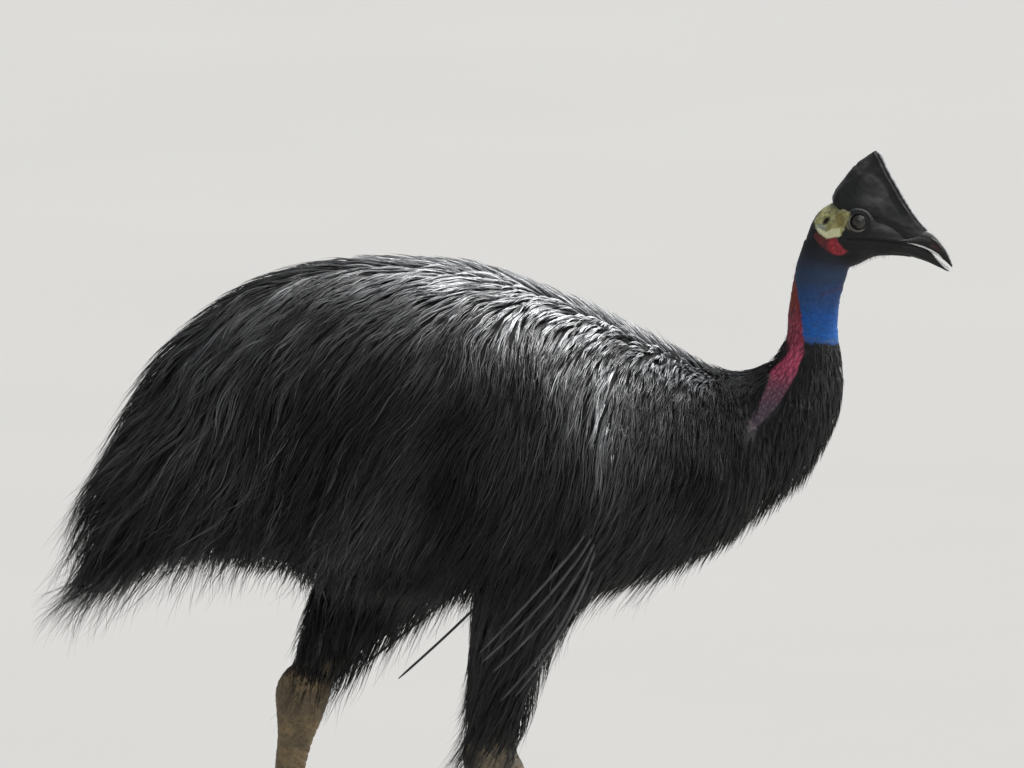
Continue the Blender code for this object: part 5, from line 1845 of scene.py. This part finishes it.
quill_finish = horn_material("quill", (0.030, 0.030, 0.031), (0.082, 0.082, 0.084), 0.34, 20, 0.15)
quills = {}
for side_name, sign in SIDES:
    shift, drop = WING_SHIFT[side_name]
    rods = []
    for q, tip in enumerate(QUILL_TIPS[side_name]):
        start = np.array(QUILL_ROOTS[q], float) + (shift, drop)
        tip = np.array(tip, float)
        square = unit(np.array([start[1] - tip[1], tip[0] - start[0]]))
        steps = 30
        s = np.linspace(0, 1, steps + 1)
        bow = QUILL_BOW[q] * np.sin(np.pi * s)
        flat = start + (tip - start) * s[:, None] + square * bow[:, None]
        outs = np.array([flank(mass_tree, x, z, sign, 112.0) + 9.5 for x, z in flat])
        chord = outs[0] + (outs[-1] - outs[0]) * s
        lift = max(0.0, float((outs - chord).max()))
        out = chord + lift * np.sin(np.pi * (0.1 + 0.9 * s)).clip(0, 1) ** 0.5 + 0.8 * q
        # the root dives under the plumage
        out = out - 18 * smooth(0.14, 0.0, s)
        out = np.minimum(out, 158)
        line = np.stack([flat[:, 0], sign * out, flat[:, 1]], 1)
        radii = 1.65 * (1.05 - 0.28 * s)
        radii[-1] *= 0.45
        radii[-2] *= 0.85
        rods.append(swept(f"q{side_name}{q}", line, radii, 12))
    rod = joined("wing_quills_" + side_name, rods)
    rod.data.shade_smooth()
    rod.data.materials.append(quill_finish)
    quills[side_name] = rod

claw_finish = horn_material("claw", (0.030, 0.026, 0.022), (0.085, 0.075, 0.062), 0.36, 9, 0.3)
claws = []
for side_name, sign in SIDES:
    jx, jz = foot_joint(side_name)
    for name, turn, length, radius, tip, talon, horn, pads in TOES:
        heading = math.radians(-sign * (2 + turn))
        d = np.array([math.cos(heading), math.sin(heading)])
        start = np.array([jx, sign * TRACK]) + d * (length - 9)
        reach, rise = talon + 9, tip * 1.02
        s = np.linspace(0, 1, 26)
        r = np.maximum(0.35, horn * (1 - s) ** 0.7)
        z = 0.8 + r + (rise - horn) * (1 - s) ** 1.1 + 1.6 * np.sin(np.pi * s)
        a = 2 * np.pi * np.arange(20) / 20
        ring = np.empty((26, 20, 3))
        mid = start + d * (reach * s)[:, None]
        across = np.array([-d[1], d[0]])
        keel = 1 - 0.10 * (np.sin(a) > 0) * np.abs(np.cos(a))
        ring[..., :2] = mid[:, None] + across * ((r[:, None] * 0.82) * (np.cos(a) * keel)[None])[..., None]
        ring[..., 2] = z[:, None] + r[:, None] * np.sin(a)[None]
        claw = loft(f"talon_{side_name}_{name}", ring)
        claw.data.shade_smooth()
        claw.data.materials.append(claw_finish)
        claws.append((claw, f"claw_{side_name}_{name}"))
lap("eyes, quills, claws")

# ------------------------------------------------------------------ into the frame
for node in (mass,):
    bpy.data.objects.remove(node)
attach(skin, "root")
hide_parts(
    "trunk", "tail", "neck_lower", "neck_upper", "head", "thigh_left", "thigh_right",
    "shank_left", "shank_right",
    *[f"toe_{s}_{t}" for s in ("left", "right") for t in ("inner", "middle", "outer")],
)  # fmt: skip
for piece in coat_pieces:
    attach(piece, "root")
for piece, slot, node in (
    (casque, "casque_horn", "casque"), (bill_top, "bill_horn", "bill_upper"),
    (bill_low, "bill_horn", "bill_lower"), (eyes[0], "eye", "eye_right"),
    (eyes[1], "eye", "eye_left"), (quills["right"], "plumage", "wing_right"),
    (quills["left"], "plumage", "wing_left"),
):  # fmt: skip
    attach(piece, "root")
    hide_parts(node)
for claw, node in claws:
    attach(claw, "root")
    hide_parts(node)

# ------------------------------------------------------------------ floor, light, camera
bpy.ops.mesh.primitive_plane_add(size=120)
ground = bpy.context.object
ground.name = "floor"
m, nodes, links, shader = material("pale_floor")
speck = noise_of(nodes, links, 900, 3, 0.5)
links.new(
    mixed(nodes, links, speck.outputs["Fac"], (0.286, 0.279, 0.267, 1), (0.304, 0.297, 0.285, 1)),
    shader.inputs["Base Color"],
)
shader.inputs["Roughness"].default_value = 0.9
ground.data.materials.append(m)

world = bpy.data.worlds.new("studio")
bpy.context.scene.world = world
world.use_nodes = True
world.node_tree.nodes["Background"].inputs[0].default_value = (0.80, 0.84, 0.90, 1)
world.node_tree.nodes["Background"].inputs[1].default_value = 0.42


def sun(name, azimuth, height, strength, angle, colour=(1, 1, 1)):
    """Light that comes from this azimuth (0 is the camera's side, 90 ahead of the bird)."""
    light = bpy.data.lights.new(name, "SUN")
    light.energy, light.angle, light.color = strength, math.radians(angle), colour
    obj = bpy.data.objects.new(name, light)
    a, h = math.radians(azimuth), math.radians(height)
    back = Vector((math.sin(a) * math.cos(h), -math.cos(a) * math.cos(h), math.sin(h)))
    obj.rotation_mode = "QUATERNION"
    obj.rotation_quaternion = back.to_track_quat("Z", "Y")
    bpy.context.scene.collection.objects.link(obj)


sun("key", 108, 38, 2.8, 9, (1.0, 0.98, 0.95))
sun("top", 128, 64, 4.4, 18, (0.98, 0.99, 1.0))
sun("fill", 30, 38, 0.9, 60, (0.95, 0.97, 1.0))

camera = bpy.data.cameras.new("camera")
camera_obj = bpy.data.objects.new("camera", camera)
bpy.context.scene.collection.objects.link(camera_obj)
bpy.context.scene.camera = camera_obj
DISTANCE, ELEVATION, WIDTH = 14.0, math.radians(8), 1.05472
aim = Vector((0.0103 - 0.00132, 0.0, 0.6043))
away = Vector((0, -math.cos(ELEVATION), math.sin(ELEVATION)))
camera_obj.location = aim + away * DISTANCE
camera_obj.rotation_mode = "QUATERNION"
camera_obj.rotation_quaternion = away.to_track_quat("Z", "Y")
camera.sensor_width = 36
camera.lens = 36 * DISTANCE / WIDTH
camera.clip_end = 200
bpy.context.scene.view_settings.view_transform = "Standard"

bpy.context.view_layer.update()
lap("done")
